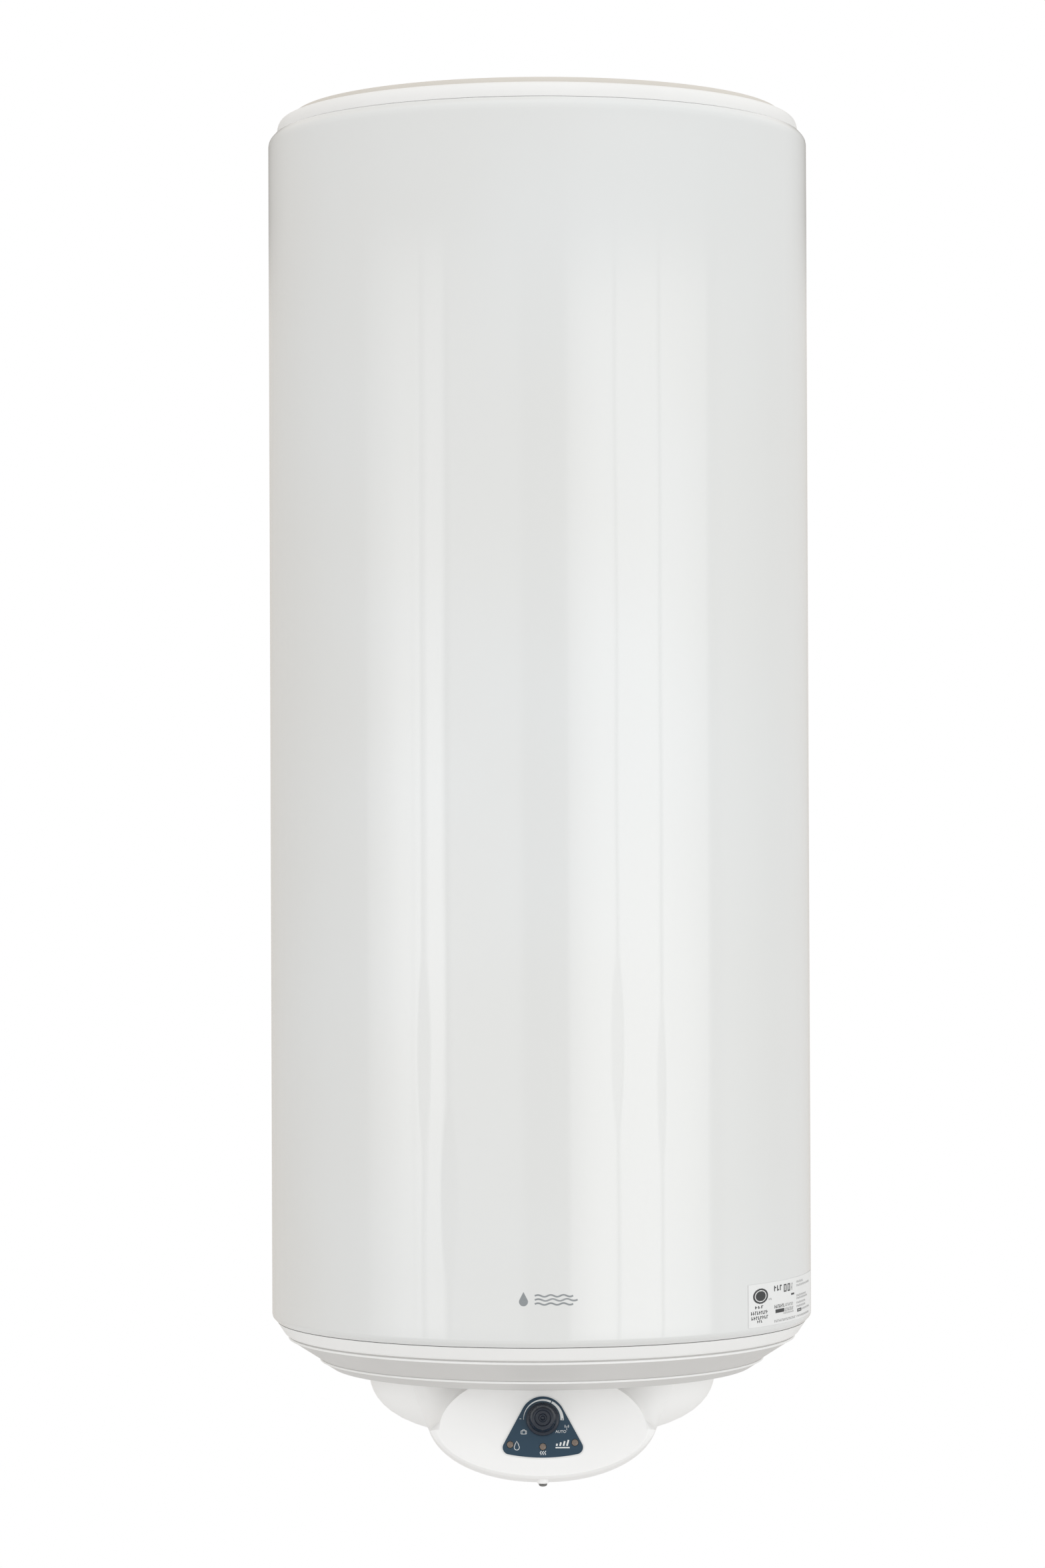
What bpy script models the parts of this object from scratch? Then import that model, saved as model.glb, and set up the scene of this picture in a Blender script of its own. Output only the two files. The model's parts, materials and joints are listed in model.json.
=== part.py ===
"""A wall-hung vertical electric tank water heater, as an assembly of separate solids.

World frame, in metres: the wall is the plane y = 0 and the heater stands off it towards -Y. +Z is up.
The origin is the centre of the upper wall bracket's face. Most pieces hang from the empty tank_frame,
whose origin is on the tank's axis at the jacket's bottom edge. The controls hang from face_frame, whose
origin is on the knob's axis at the front face of the service cover, with its own +Z out of that face.
"""

from math import atan2, cos, degrees, pi, radians, sin, sqrt

import bmesh
import bpy
from mathutils import Matrix, Vector

# Driving dimensions
JACKET_RADIUS = 0.2525
JACKET_HEIGHT = 1.108
DEPTH_FROM_WALL = 0.530
UPPER_BRACKET_HEIGHT = 0.922
BRACKET_SPACING = 0.800
BOLT_SPACING = 0.440
PIPE_SPACING = 0.230
PIPE_BEHIND_AXIS = 0.105
PIPE_DROP = 0.040

# Casing
JACKET_WALL = 0.0012
LIP_INNER_RADIUS = 0.2405
EDGE_CHAMFER_HEIGHT = 0.007
BOTTOM_RING_RADIUS = 0.2477
TOP_RING_RADIUS = 0.2460
COVER_BOTTOM = -0.044
COVER_WALL = 0.0027
FLANGE_HATCH_RADIUS = 0.082
TOP_COVER_HEIGHT = 0.020

# Tank
TANK_RADIUS = 0.220
TANK_WALL = 0.002
TANK_LOW = 0.062
TANK_HIGH = 1.030
DOME_HEIGHT = 0.055
NECK_RADIUS = 0.057
NECK_BORE = 0.052

# Flange group
FLANGE_RADIUS = 0.076
FLANGE_TOP = -0.018
RIM_THICKNESS = 0.008
GASKET_THICKNESS = 0.002
PLATE_THICKNESS = 0.006
BOLT_CIRCLE_RADIUS = 0.067
BOLT_COUNT = 6
BOLT_HOLE_RADIUS = 0.0045
BOLT_RADIUS = 0.0040
BOLT_HEAD_RADIUS = 0.0075
BOLT_HEAD_HEIGHT = 0.0055

# What passes through the flange plate
SHEATH_PLACE = (0.0, 0.014, 0.0)
SHEATH_RADIUS = 0.0236
SHEATH_BORE = 0.0218
SHEATH_COLLAR_RADIUS = 0.0275
SHEATH_TOP = 0.400
ELEMENT_TOP = 0.370
ELEMENT_DROP = 0.0070
ELEMENT_DRUM_COUNT = 5
ELEMENT_DRUM_RADIUS = 0.0200
ELEMENT_WAIST_RADIUS = 0.0165
ANODE_PLACE = (0.027, -0.022, 0.0)
ANODE_RADIUS = 0.0110
ANODE_STUD_RADIUS = 0.0040
ANODE_TOP = 0.360
BUSH_RADIUS = 0.0090
POCKET_PLACE = (-0.027, -0.022, 0.0)
POCKET_RADIUS = 0.0065
POCKET_BORE = 0.0050
POCKET_TOP = 0.330
SENSOR_RADIUS = 0.0042
SENSOR_TOP = 0.310
SENSOR_LOW = -0.044

# Pipes
PIPE_RADIUS = 0.0132
PIPE_BORE = 0.0106
PIPE_TOP = 0.050
PIPE_RING_RADIUS = 0.0205
PIPE_RING_HEIGHT = 0.004
DIP_TUBE_TOP = 1.045
DIFFUSER_RADIUS = 0.0180
DIFFUSER_TOP = 0.080
DIFFUSER_LOW = 0.038

# Brackets
BRACKET_WIDTH = 0.500
BRACKET_HEIGHT = 0.060
BRACKET_WALL = 0.003
BRACKET_END_DEPTH = 0.014
BRACKET_ARC_HALF = 0.090
SLOT_WIDTH = 0.013
SLOT_HEIGHT = 0.022
JACKET_SLIT_HALF = 0.137
JACKET_SLIT_CLEARANCE = 0.0015

# Service cover
FACE_TILT = 12.0
KNOB_FORWARD = 0.1566
KNOB_DROP = 0.0749
COVER_THICKNESS = 0.0025
BOWL_HALF_WIDTH = 0.161
BOWL_HALF_DEPTH = 0.107
BOWL_CENTRE_Y = -0.021
BOWL_DEPTH = 0.062
RIM_SETBACK = 0.006
CHEEK_SETBACK = 0.045
DRUM_SETBACK = 0.052
TAIL_SETBACK = 0.130
TAIL_LIFT = 0.030
SCREW_PLACE = (0.0, -0.1530, 0.0)
SCREW_BOSS_LOW = -0.1330
SCREW_BOSS_RADIUS = 0.0052
SCREW_BORE = 0.0025
GLAND_PLACE = (0.0, 0.0830, -0.0610)
GLAND_HOLE_RADIUS = 0.0094

# The nose of the service cover, across its face. Its lower half is an oval drum. Its upper half widens
# from the oval face back to the cheeks.
FACE_CENTRE = -0.0090
FACE_HALF_WIDTH = 0.0935
FACE_UP = 0.0526
FACE_DOWN = 0.0409
DRUM_CENTRE = 0.0080
DRUM_HALF_WIDTH = 0.1060
DRUM_DOWN = 0.0610
DRUM_EXPONENT = 2.1
LEDGE_HEIGHT = -0.0085
LEDGE_ANGLE = 15.5
CHEEK_TOP_HALF_WIDTH = 0.1190
CHEEK_TOP_HEIGHT = 0.0336

# Controls, along the face normal
LABEL_LOW = 0.0003
LABEL_HIGH = 0.0011
KNOB_LOW = 0.0015
KNOB_LENGTH = 0.0150
KNOB_RADIUS = 0.0150
SHAFT_RADIUS = 0.0030
LENS_RADIUS = 0.0029
BOARD_TOP = -0.0130
BOARD_THICKNESS = 0.0016
SHAFT_HOLE_RADIUS = 0.0045
LENS_PLACES = (("left", -0.0295, -0.0226), ("centre", 0.0, -0.0246), ("right", 0.0290, -0.0210))

# Thermostat under the flange
HOUSING_TOP = -0.046
HOUSING_LOW = -0.070
HOUSING_WIDTH = 0.104
HOUSING_DEPTH = 0.076
HOUSING_WALL = 0.002
HOUSING_CENTRE_Y = -0.004
THERMO_BOARD_TOP = -0.062
CUTOUT_PLACE = (-0.028, -0.010, 0.0)
CUTOUT_RADIUS = 0.0130
CUTOUT_GUIDE_RADIUS = 0.0095
CUTOUT_BORE = 0.0042
ELEMENT_WIRE_RADIUS = 0.0012
ANODE_WIRE_RADIUS = 0.0010
LEAD_RADIUS = 0.0025

# Sticker
STICKER_LOW = 0.008
STICKER_HIGH = 0.0467
STICKER_START = 47.3
STICKER_END = 82.0
STICKER_THICKNESS = 0.0004

GAP = 0.0004
LARGE_SEGMENTS = 48
TANK_SEGMENTS = 36
FLANGE_SEGMENTS = 24
PIPE_SEGMENTS = 16
SMALL_SEGMENTS = 12
HOLE_SEGMENTS = 8

AXIS_Y = JACKET_RADIUS - DEPTH_FROM_WALL
PIPE_LOW = COVER_BOTTOM - PIPE_DROP
PLATE_TOP = FLANGE_TOP - RIM_THICKNESS - GASKET_THICKNESS - 2 * GAP
PLATE_BOTTOM = PLATE_TOP - PLATE_THICKNESS


def clear_scene():
    for obj in list(bpy.data.objects):
        bpy.data.objects.remove(obj, do_unlink=True)


def new_collection(name):
    collection = bpy.data.collections.new(name)
    bpy.context.scene.collection.children.link(collection)
    return collection


def new_material(name, colour, roughness, metallic=0.0):
    material = bpy.data.materials.new(name)
    material.use_nodes = True
    shader = material.node_tree.nodes["Principled BSDF"]
    shader.inputs["Base Color"].default_value = (*colour, 1.0)
    shader.inputs["Roughness"].default_value = roughness
    shader.inputs["Metallic"].default_value = metallic
    return material


clear_scene()
PARTS = new_collection("tank_water_heater")
CUTTERS = new_collection("cutters")
MATERIALS = {
    "jacket_enamel": new_material("jacket_enamel", (0.76, 0.77, 0.76), 0.18),
    "cover_plastic": new_material("cover_plastic", (0.86, 0.86, 0.85), 0.40),
    "base_plastic": new_material("base_plastic", (0.62, 0.61, 0.59), 0.45),
    "capot_plastic": new_material("capot_plastic", (0.88, 0.88, 0.87), 0.38),
    "foam": new_material("foam", (0.86, 0.72, 0.42), 0.95),
    "tank_steel": new_material("tank_steel", (0.10, 0.16, 0.26), 0.35),
    "galvanised_steel": new_material("galvanised_steel", (0.60, 0.61, 0.62), 0.40, 1.0),
    "zinc_screw": new_material("zinc_screw", (0.66, 0.66, 0.64), 0.28, 1.0),
    "gasket_rubber": new_material("gasket_rubber", (0.03, 0.03, 0.03), 0.70),
    "steatite": new_material("steatite", (0.80, 0.76, 0.66), 0.60),
    "anode_metal": new_material("anode_metal", (0.48, 0.48, 0.50), 0.50, 1.0),
    "nylon": new_material("nylon", (0.72, 0.70, 0.62), 0.50),
    "stainless": new_material("stainless", (0.62, 0.62, 0.62), 0.25, 1.0),
    "housing_grey": new_material("housing_grey", (0.30, 0.31, 0.33), 0.50),
    "board_green": new_material("board_green", (0.03, 0.20, 0.08), 0.45),
    "component_black": new_material("component_black", (0.03, 0.03, 0.035), 0.45),
    "battery_wrap": new_material("battery_wrap", (0.08, 0.20, 0.42), 0.35),
    "label_slate": new_material("label_slate", (0.042, 0.068, 0.102), 0.32),
    "knob_black": new_material("knob_black", (0.012, 0.013, 0.018), 0.28),
    "lens_smoke": new_material("lens_smoke", (0.19, 0.14, 0.10), 0.30),
    "sticker_white": new_material("sticker_white", (0.84, 0.84, 0.83), 0.45),
    "signal_red": new_material("signal_red", (0.55, 0.03, 0.02), 0.40),
    "signal_blue": new_material("signal_blue", (0.03, 0.10, 0.50), 0.40),
    "brass": new_material("brass", (0.66, 0.46, 0.18), 0.30, 1.0),
    "wire_grey": new_material("wire_grey", (0.25, 0.25, 0.26), 0.50),
}


def new_empty(name, location, rotation=(0.0, 0.0, 0.0)):
    empty = bpy.data.objects.new(name, None)
    empty.location = location
    empty.rotation_euler = rotation
    empty.empty_display_size = 0.05
    bpy.context.scene.collection.objects.link(empty)
    return empty


TANK_FRAME = new_empty("tank_frame", (0.0, AXIS_Y, -UPPER_BRACKET_HEIGHT))
FACE_FRAME = new_empty(
    "face_frame",
    (0.0, AXIS_Y - KNOB_FORWARD, -UPPER_BRACKET_HEIGHT - KNOB_DROP),
    (radians(90.0 - FACE_TILT), 0.0, 0.0),
)


def smooth(mesh, angle=35.0):
    mesh.shade_smooth()
    mesh.set_sharp_from_angle(angle=radians(angle))


def place(name, mesh, material, parent=TANK_FRAME, location=(0.0, 0.0, 0.0), rotation=(0.0, 0.0, 0.0)):
    """Links a mesh as one piece, or as a cutter where the material is None."""
    obj = bpy.data.objects.new(name, mesh)
    obj.parent = parent
    obj.location = location
    obj.rotation_euler = rotation
    if material is None:
        CUTTERS.objects.link(obj)
        obj.hide_render = True
        obj.display_type = "WIRE"
    else:
        PARTS.objects.link(obj)
        mesh.materials.clear()
        mesh.materials.append(MATERIALS[material])
        smooth(mesh)
    return obj


def mesh_from(bm, name):
    bmesh.ops.recalc_face_normals(bm, faces=bm.faces)
    mesh = bpy.data.meshes.new(name)
    bm.to_mesh(mesh)
    bm.free()
    return mesh


def turned(name, profile, material, segments, **placing):
    """A turned piece: (radius, height) points down the outer side, then back up the inner side.

    The profile is closed, unless it starts and ends on the axis.
    """
    bm = bmesh.new()
    points = [bm.verts.new((radius, 0.0, height)) for radius, height in profile]
    for first, second in zip(points, points[1:]):
        bm.edges.new((first, second))
    if profile[0][0] > 0.0:
        bm.edges.new((points[-1], points[0]))
    mesh = bpy.data.meshes.new(name)
    bm.to_mesh(mesh)
    bm.free()
    obj = place(name, mesh, material, **placing)
    screw = obj.modifiers.new("turn", "SCREW")
    screw.steps = segments
    screw.render_steps = segments
    screw.use_merge_vertices = True
    screw.merge_threshold = 0.00001
    return obj


def rod(name, radius, low, high, material, segments=SMALL_SEGMENTS, **placing):
    profile = [(0.0, high), (radius, high), (radius, low), (0.0, low)]
    return turned(name, profile, material, segments, **placing)


def sleeve(name, radius, bore, low, high, material, segments=SMALL_SEGMENTS, **placing):
    profile = [(radius, high), (radius, low), (bore, low), (bore, high)]
    return turned(name, profile, material, segments, **placing)


def block(name, size, centre, material, bevel=0.0, **placing):
    bm = bmesh.new()
    bmesh.ops.create_cube(bm, size=1.0, matrix=Matrix.Translation(centre) @ Matrix.Diagonal((*size, 1.0)))
    obj = place(name, mesh_from(bm, name), material, **placing)
    if bevel:
        rounding = obj.modifiers.new("bevel", "BEVEL")
        rounding.width = bevel
        rounding.segments = 1
    return obj


def circle(radius, centre=(0.0, 0.0), segments=SMALL_SEGMENTS):
    turns = [2 * pi * i / segments for i in range(segments)]
    return [(centre[0] + radius * cos(turn), centre[1] + radius * sin(turn)) for turn in turns]


def prism(name, outline, low, high, material, holes=(), **placing):
    """A flat closed outline in x and y, with its holes, made thick from low to high."""
    curve = bpy.data.curves.new(name, "CURVE")
    curve.dimensions = "2D"
    curve.fill_mode = "BOTH"
    curve.extrude = (high - low) / 2
    for loop in (outline, *holes):
        spline = curve.splines.new("POLY")
        spline.points.add(len(loop) - 1)
        for point, (x, y) in zip(spline.points, loop):
            point.co = (x, y, 0.0, 1.0)
        spline.use_cyclic_u = True
    return curve_piece(name, curve, material, lift=(low + high) / 2, **placing)


def tube(name, route, radius, material, **placing):
    """A solid round wire along a list of points."""
    curve = bpy.data.curves.new(name, "CURVE")
    curve.dimensions = "3D"
    curve.bevel_depth = radius
    curve.bevel_resolution = 1
    curve.use_fill_caps = True
    spline = curve.splines.new("POLY")
    spline.points.add(len(route) - 1)
    for point, place_on_route in zip(spline.points, route):
        point.co = (*place_on_route, 1.0)
    return curve_piece(name, curve, material, **placing)


def curve_piece(name, curve, material, lift=0.0, **placing):
    """Turns a curve into a welded mesh piece."""
    holder = bpy.data.objects.new(name + "_curve", curve)
    bpy.context.scene.collection.objects.link(holder)
    bpy.context.view_layer.update()
    evaluated = holder.evaluated_get(bpy.context.evaluated_depsgraph_get())
    mesh = bpy.data.meshes.new_from_object(evaluated)
    bpy.data.objects.remove(holder, do_unlink=True)
    bm = bmesh.new()
    bm.from_mesh(mesh)
    bpy.data.meshes.remove(mesh)
    bmesh.ops.remove_doubles(bm, verts=bm.verts, dist=0.000005)
    bmesh.ops.translate(bm, verts=bm.verts, vec=(0.0, 0.0, lift))
    return place(name, mesh_from(bm, name), material, **placing)


def loft(name, rings, material, **placing):
    """A solid through rings of equal point counts, with flat ends."""
    bm = bmesh.new()
    loops = [[bm.verts.new(point) for point in ring] for ring in rings]
    for first, second in zip(loops, loops[1:]):
        for i in range(len(first)):
            j = (i + 1) % len(first)
            bm.faces.new((first[i], first[j], second[j], second[i]))
    bm.faces.new(loops[0])
    bm.faces.new(loops[-1])
    return place(name, mesh_from(bm, name), material, **placing)


def combine(obj, other, operation="DIFFERENCE"):
    boolean = obj.modifiers.new(other.name, "BOOLEAN")
    boolean.operation = operation
    boolean.object = other
    boolean.solver = "EXACT"
    return obj


def cut_hole(obj, name, radius, low, high, location=(0.0, 0.0, 0.0), segments=PIPE_SEGMENTS, **placing):
    cutter = rod(name, radius, low, high, None, segments, location=location, **placing)
    return combine(obj, cutter)


def bracket_levels():
    return (("upper", UPPER_BRACKET_HEIGHT), ("lower", UPPER_BRACKET_HEIGHT - BRACKET_SPACING))


def bracket_slits(obj, owner):
    """Cuts a slit for each bracket flange through the back of a casing piece."""
    for level_name, level in bracket_levels():
        for side in (-1, 1):
            height = level + side * (BRACKET_HEIGHT - BRACKET_WALL) / 2
            size = (2 * JACKET_SLIT_HALF, 0.180, BRACKET_WALL + JACKET_SLIT_CLEARANCE)
            name = f"{owner}_slit_{level_name}_{'high' if side > 0 else 'low'}"
            combine(obj, block(name, size, (0.0, 0.210, height), None))


def dome_point(angle, radius, height):
    return radius * cos(radians(angle)), height * sin(radians(angle))


def pipe_place(side):
    return side * PIPE_SPACING / 2, PIPE_BEHIND_AXIS, 0.0


# ---- Casing ----


def make_jacket():
    """The painted sheet jacket: a tube whose two edges are rolled in to a flat lip."""
    top = JACKET_HEIGHT
    wall = JACKET_WALL
    radius = JACKET_RADIUS
    profile = [
        (LIP_INNER_RADIUS, top),
        (TOP_RING_RADIUS, top),
        (radius - 0.0018, top - 0.0022),
        (radius, top - EDGE_CHAMFER_HEIGHT),
        (radius, EDGE_CHAMFER_HEIGHT),
        (radius - 0.0016, 0.0022),
        (BOTTOM_RING_RADIUS, 0.0),
        (LIP_INNER_RADIUS, 0.0),
        (LIP_INNER_RADIUS, wall),
        (BOTTOM_RING_RADIUS - 0.0004, wall),
        (radius - wall, EDGE_CHAMFER_HEIGHT),
        (radius - wall, top - EDGE_CHAMFER_HEIGHT),
        (TOP_RING_RADIUS - 0.0004, top - wall),
        (LIP_INNER_RADIUS, top - wall),
    ]
    jacket = turned("jacket", profile, "jacket_enamel", LARGE_SEGMENTS)
    bracket_slits(jacket, "jacket")


def make_top_cover():
    low = JACKET_HEIGHT + GAP
    high = JACKET_HEIGHT + TOP_COVER_HEIGHT
    profile = [
        (0.0, high - 0.0025),
        (0.2210, high - 0.0025),
        (0.2235, high),
        (0.2280, high),
        (0.2305, high - 0.0055),
        (0.2365, high - 0.0050),
        (0.2415, high - 0.0085),
        (0.2440, high - 0.0140),
        (0.2440, low),
        (0.2410, low),
        (0.2345, high - 0.0080),
        (0.2200, high - 0.0055),
        (0.0, high - 0.0055),
    ]
    turned("top_cover", profile, "cover_plastic", LARGE_SEGMENTS)


def make_bottom_cover():
    """The stepped lower cover: a collar, a groove, two cones and a flat floor round the flange hatch."""
    profile = [
        (0.2474, -GAP),
        (0.2400, -0.0117),
        (0.2362, -0.0126),
        (0.2345, -0.0160),
        (0.2055, -0.0362),
        (0.1970, COVER_BOTTOM + 0.0010),
        (0.1930, COVER_BOTTOM),
        (FLANGE_HATCH_RADIUS, COVER_BOTTOM),
        (FLANGE_HATCH_RADIUS, COVER_BOTTOM + COVER_WALL),
        (0.1925, COVER_BOTTOM + COVER_WALL),
        (0.2330, -0.0130),
        (0.2430, -GAP),
    ]
    cover = turned("bottom_cover", profile, "base_plastic", LARGE_SEGMENTS)
    for name, side in (("hot", -1), ("cold", 1)):
        cut_hole(cover, f"{name}_pipe_cover_hole", PIPE_RADIUS + 0.0015, -0.050, -0.035, pipe_place(side))


def make_foam():
    """The foam fills the space between jacket and tank, down into the lower cover and round the neck."""
    outer = JACKET_RADIUS - JACKET_WALL - 0.0008
    clear = TANK_RADIUS + 0.0006
    high = JACKET_HEIGHT - JACKET_WALL - GAP
    low = JACKET_WALL + GAP
    lip = LIP_INNER_RADIUS - 0.0008
    profile = [
        (0.0, JACKET_HEIGHT + 0.0135),
        (0.2180, JACKET_HEIGHT + 0.0135),
        (lip, high + 0.0035),
        (lip, high),
        (TOP_RING_RADIUS - 0.0012, high),
        (outer, JACKET_HEIGHT - EDGE_CHAMFER_HEIGHT - 0.0010),
        (outer, EDGE_CHAMFER_HEIGHT + 0.0010),
        (BOTTOM_RING_RADIUS - 0.0014, low),
        (lip - 0.0004, low),
        (lip - 0.0020, -0.0060),
        (0.1915, COVER_BOTTOM + COVER_WALL + GAP + 0.0003),
        (FLANGE_HATCH_RADIUS + 0.001, COVER_BOTTOM + COVER_WALL + GAP + 0.0003),
    ]
    for angle in (-68.0, -45.0, -25.0):
        radius, height = dome_point(angle, clear + 0.0030, DOME_HEIGHT + 0.0030)
        profile.append((radius, TANK_LOW + height))
    profile += [(clear + 0.0010, TANK_LOW), (clear + 0.0010, TANK_HIGH)]
    for angle in (25.0, 45.0, 68.0, 90.0):
        radius, height = dome_point(angle, clear + 0.0030, DOME_HEIGHT + 0.0030)
        profile.append((max(radius, 0.0), TANK_HIGH + height))
    profile[-1] = (0.0, profile[-1][1])
    foam = turned("foam_insulation", profile, "foam", LARGE_SEGMENTS)
    bracket_slits(foam, "foam")
    for name, side in (("hot", -1), ("cold", 1)):
        cut_hole(foam, f"{name}_pipe_foam_hole", PIPE_RADIUS + 0.0012, -0.060, 0.060, pipe_place(side))


# ---- Tank ----


def make_tank_shell():
    sleeve(
        "tank_shell",
        TANK_RADIUS,
        TANK_RADIUS - TANK_WALL,
        TANK_LOW + GAP,
        TANK_HIGH - GAP,
        "tank_steel",
        TANK_SEGMENTS,
    )


def make_tank_top_dome():
    outer = [dome_point(angle, TANK_RADIUS, DOME_HEIGHT) for angle in (90.0, 68.0, 45.0, 22.0, 0.0)]
    bore = TANK_RADIUS - TANK_WALL
    inner = [dome_point(angle, bore, DOME_HEIGHT - TANK_WALL) for angle in (0.0, 22.0, 45.0, 68.0, 90.0)]
    outer[0] = (0.0, DOME_HEIGHT)
    inner[-1] = (0.0, DOME_HEIGHT - TANK_WALL)
    turned("tank_top_dome", outer + inner, "tank_steel", TANK_SEGMENTS, location=(0.0, 0.0, TANK_HIGH))


def make_tank_bottom_dome():
    """The lower dished end, open at the centre for the flange neck and bored for both pipes."""
    hole = NECK_RADIUS + GAP
    edge = degrees(atan2(sqrt(TANK_RADIUS**2 - hole**2), hole))
    bore = TANK_RADIUS - TANK_WALL
    inner = [dome_point(-angle, bore, DOME_HEIGHT - TANK_WALL) for angle in (0.0, 22.0, 45.0)]
    outer = [dome_point(-angle, TANK_RADIUS, DOME_HEIGHT) for angle in (0.0, 22.0, 45.0)]
    outer_lip = (hole, -DOME_HEIGHT * sin(radians(edge)))
    inner_lip = (hole, outer_lip[1] + TANK_WALL)
    profile = [*outer, outer_lip, inner_lip, *reversed(inner)]
    dome = turned("tank_bottom_dome", profile, "tank_steel", TANK_SEGMENTS, location=(0.0, 0.0, TANK_LOW))
    for name, side in (("hot", -1), ("cold", 1)):
        cut_hole(dome, f"{name}_pipe_dome_hole", PIPE_RADIUS + GAP, -0.010, 0.060, pipe_place(side))


def bolt_places():
    """The flange bolts' centres, evenly round the bolt circle."""
    for i in range(BOLT_COUNT):
        angle = 2 * pi * (i + 0.5) / BOLT_COUNT
        yield i + 1, (BOLT_CIRCLE_RADIUS * cos(angle), BOLT_CIRCLE_RADIUS * sin(angle), 0.0)


def bolt_holes():
    return [circle(BOLT_HOLE_RADIUS, spot[:2], HOLE_SEGMENTS) for number, spot in bolt_places()]


def flange_ring(name, bore, low, high, material):
    """A ring of the flange stack, bored for the bolts."""
    outline = circle(FLANGE_RADIUS, segments=FLANGE_SEGMENTS)
    holes = [circle(bore, segments=FLANGE_SEGMENTS), *bolt_holes()]
    return prism(name, outline, low, high, material, holes)


def make_flange_neck():
    low = FLANGE_TOP - RIM_THICKNESS
    bore = NECK_BORE + 0.001
    neck = flange_ring("flange_neck", NECK_BORE, low, FLANGE_TOP, "tank_steel")
    collar = sleeve("neck_collar", NECK_RADIUS, bore, FLANGE_TOP - 0.003, 0.014, None, FLANGE_SEGMENTS)
    combine(neck, collar, "UNION")


def make_flange_gasket():
    high = FLANGE_TOP - RIM_THICKNESS - GAP
    flange_ring("flange_gasket", NECK_BORE, high - GASKET_THICKNESS, high, "gasket_rubber")


def make_flange_plate():
    outline = circle(FLANGE_RADIUS, segments=FLANGE_SEGMENTS)
    holes = bolt_holes()
    fittings = ((SHEATH_RADIUS, SHEATH_PLACE), (BUSH_RADIUS, ANODE_PLACE), (POCKET_RADIUS, POCKET_PLACE))
    for radius, spot in fittings:
        holes.append(circle(radius + 2 * GAP, spot[:2], PIPE_SEGMENTS))
    prism("flange_plate", outline, PLATE_BOTTOM, PLATE_TOP, "galvanised_steel", holes)


def make_flange_bolts():
    """Six hexagon-headed bolts, from under the plate up through the gasket into the neck's rim."""
    head_top = PLATE_BOTTOM - GAP
    head_low = head_top - BOLT_HEAD_HEIGHT
    low = head_top - 0.001
    high = FLANGE_TOP + 0.006
    for number, spot in bolt_places():
        bolt = rod(f"flange_bolt_{number}", BOLT_RADIUS, low, high, "zinc_screw", 8, location=spot)
        head = rod(f"bolt_head_{number}", BOLT_HEAD_RADIUS, head_low, head_top, None, 6, location=spot)
        combine(bolt, head, "UNION")


def make_heater_sheath():
    """The enamelled pocket that keeps the element out of the water, closed at the top."""
    collar_top = PLATE_BOTTOM - GAP
    profile = [
        (0.0, SHEATH_TOP),
        (0.0150, SHEATH_TOP - 0.0030),
        (SHEATH_RADIUS, SHEATH_TOP - 0.0150),
        (SHEATH_RADIUS, collar_top),
        (SHEATH_COLLAR_RADIUS, collar_top),
        (SHEATH_COLLAR_RADIUS, collar_top - 0.0025),
        (SHEATH_BORE, collar_top - 0.0025),
        (SHEATH_BORE, SHEATH_TOP - 0.0160),
        (0.0140, SHEATH_TOP - 0.0052),
        (0.0, SHEATH_TOP - 0.0020),
    ]
    turned("heater_sheath", profile, "tank_steel", PIPE_SEGMENTS, location=SHEATH_PLACE)


def make_heating_element():
    """A steatite element: stacked ceramic drums with a waist between each pair."""
    low = PLATE_BOTTOM - ELEMENT_DROP
    drum = ELEMENT_DRUM_RADIUS
    waist = ELEMENT_WAIST_RADIUS
    pitch = (ELEMENT_TOP - low) / ELEMENT_DRUM_COUNT
    profile = [(0.0, ELEMENT_TOP)]
    for i in range(ELEMENT_DRUM_COUNT):
        high = ELEMENT_TOP - i * pitch
        profile += [(drum, high), (drum, high - pitch + 0.006)]
        if i < ELEMENT_DRUM_COUNT - 1:
            profile += [(waist, high - pitch + 0.004), (waist, high - pitch + 0.002)]
    profile += [(0.0180, low), (0.0, low)]
    turned("heating_element", profile, "steatite", SMALL_SEGMENTS, location=SHEATH_PLACE)


def make_sensor_pocket():
    collar_top = PLATE_BOTTOM - GAP
    profile = [
        (0.0, POCKET_TOP),
        (POCKET_RADIUS, POCKET_TOP - 0.004),
        (POCKET_RADIUS, collar_top),
        (0.0090, collar_top),
        (0.0090, collar_top - 0.002),
        (POCKET_BORE, collar_top - 0.002),
        (POCKET_BORE, POCKET_TOP - 0.005),
        (0.0, POCKET_TOP - 0.002),
    ]
    turned("sensor_pocket", profile, "stainless", SMALL_SEGMENTS, location=POCKET_PLACE)
    rod("temperature_sensor", SENSOR_RADIUS, SENSOR_LOW, SENSOR_TOP, "component_black", location=POCKET_PLACE)


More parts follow.
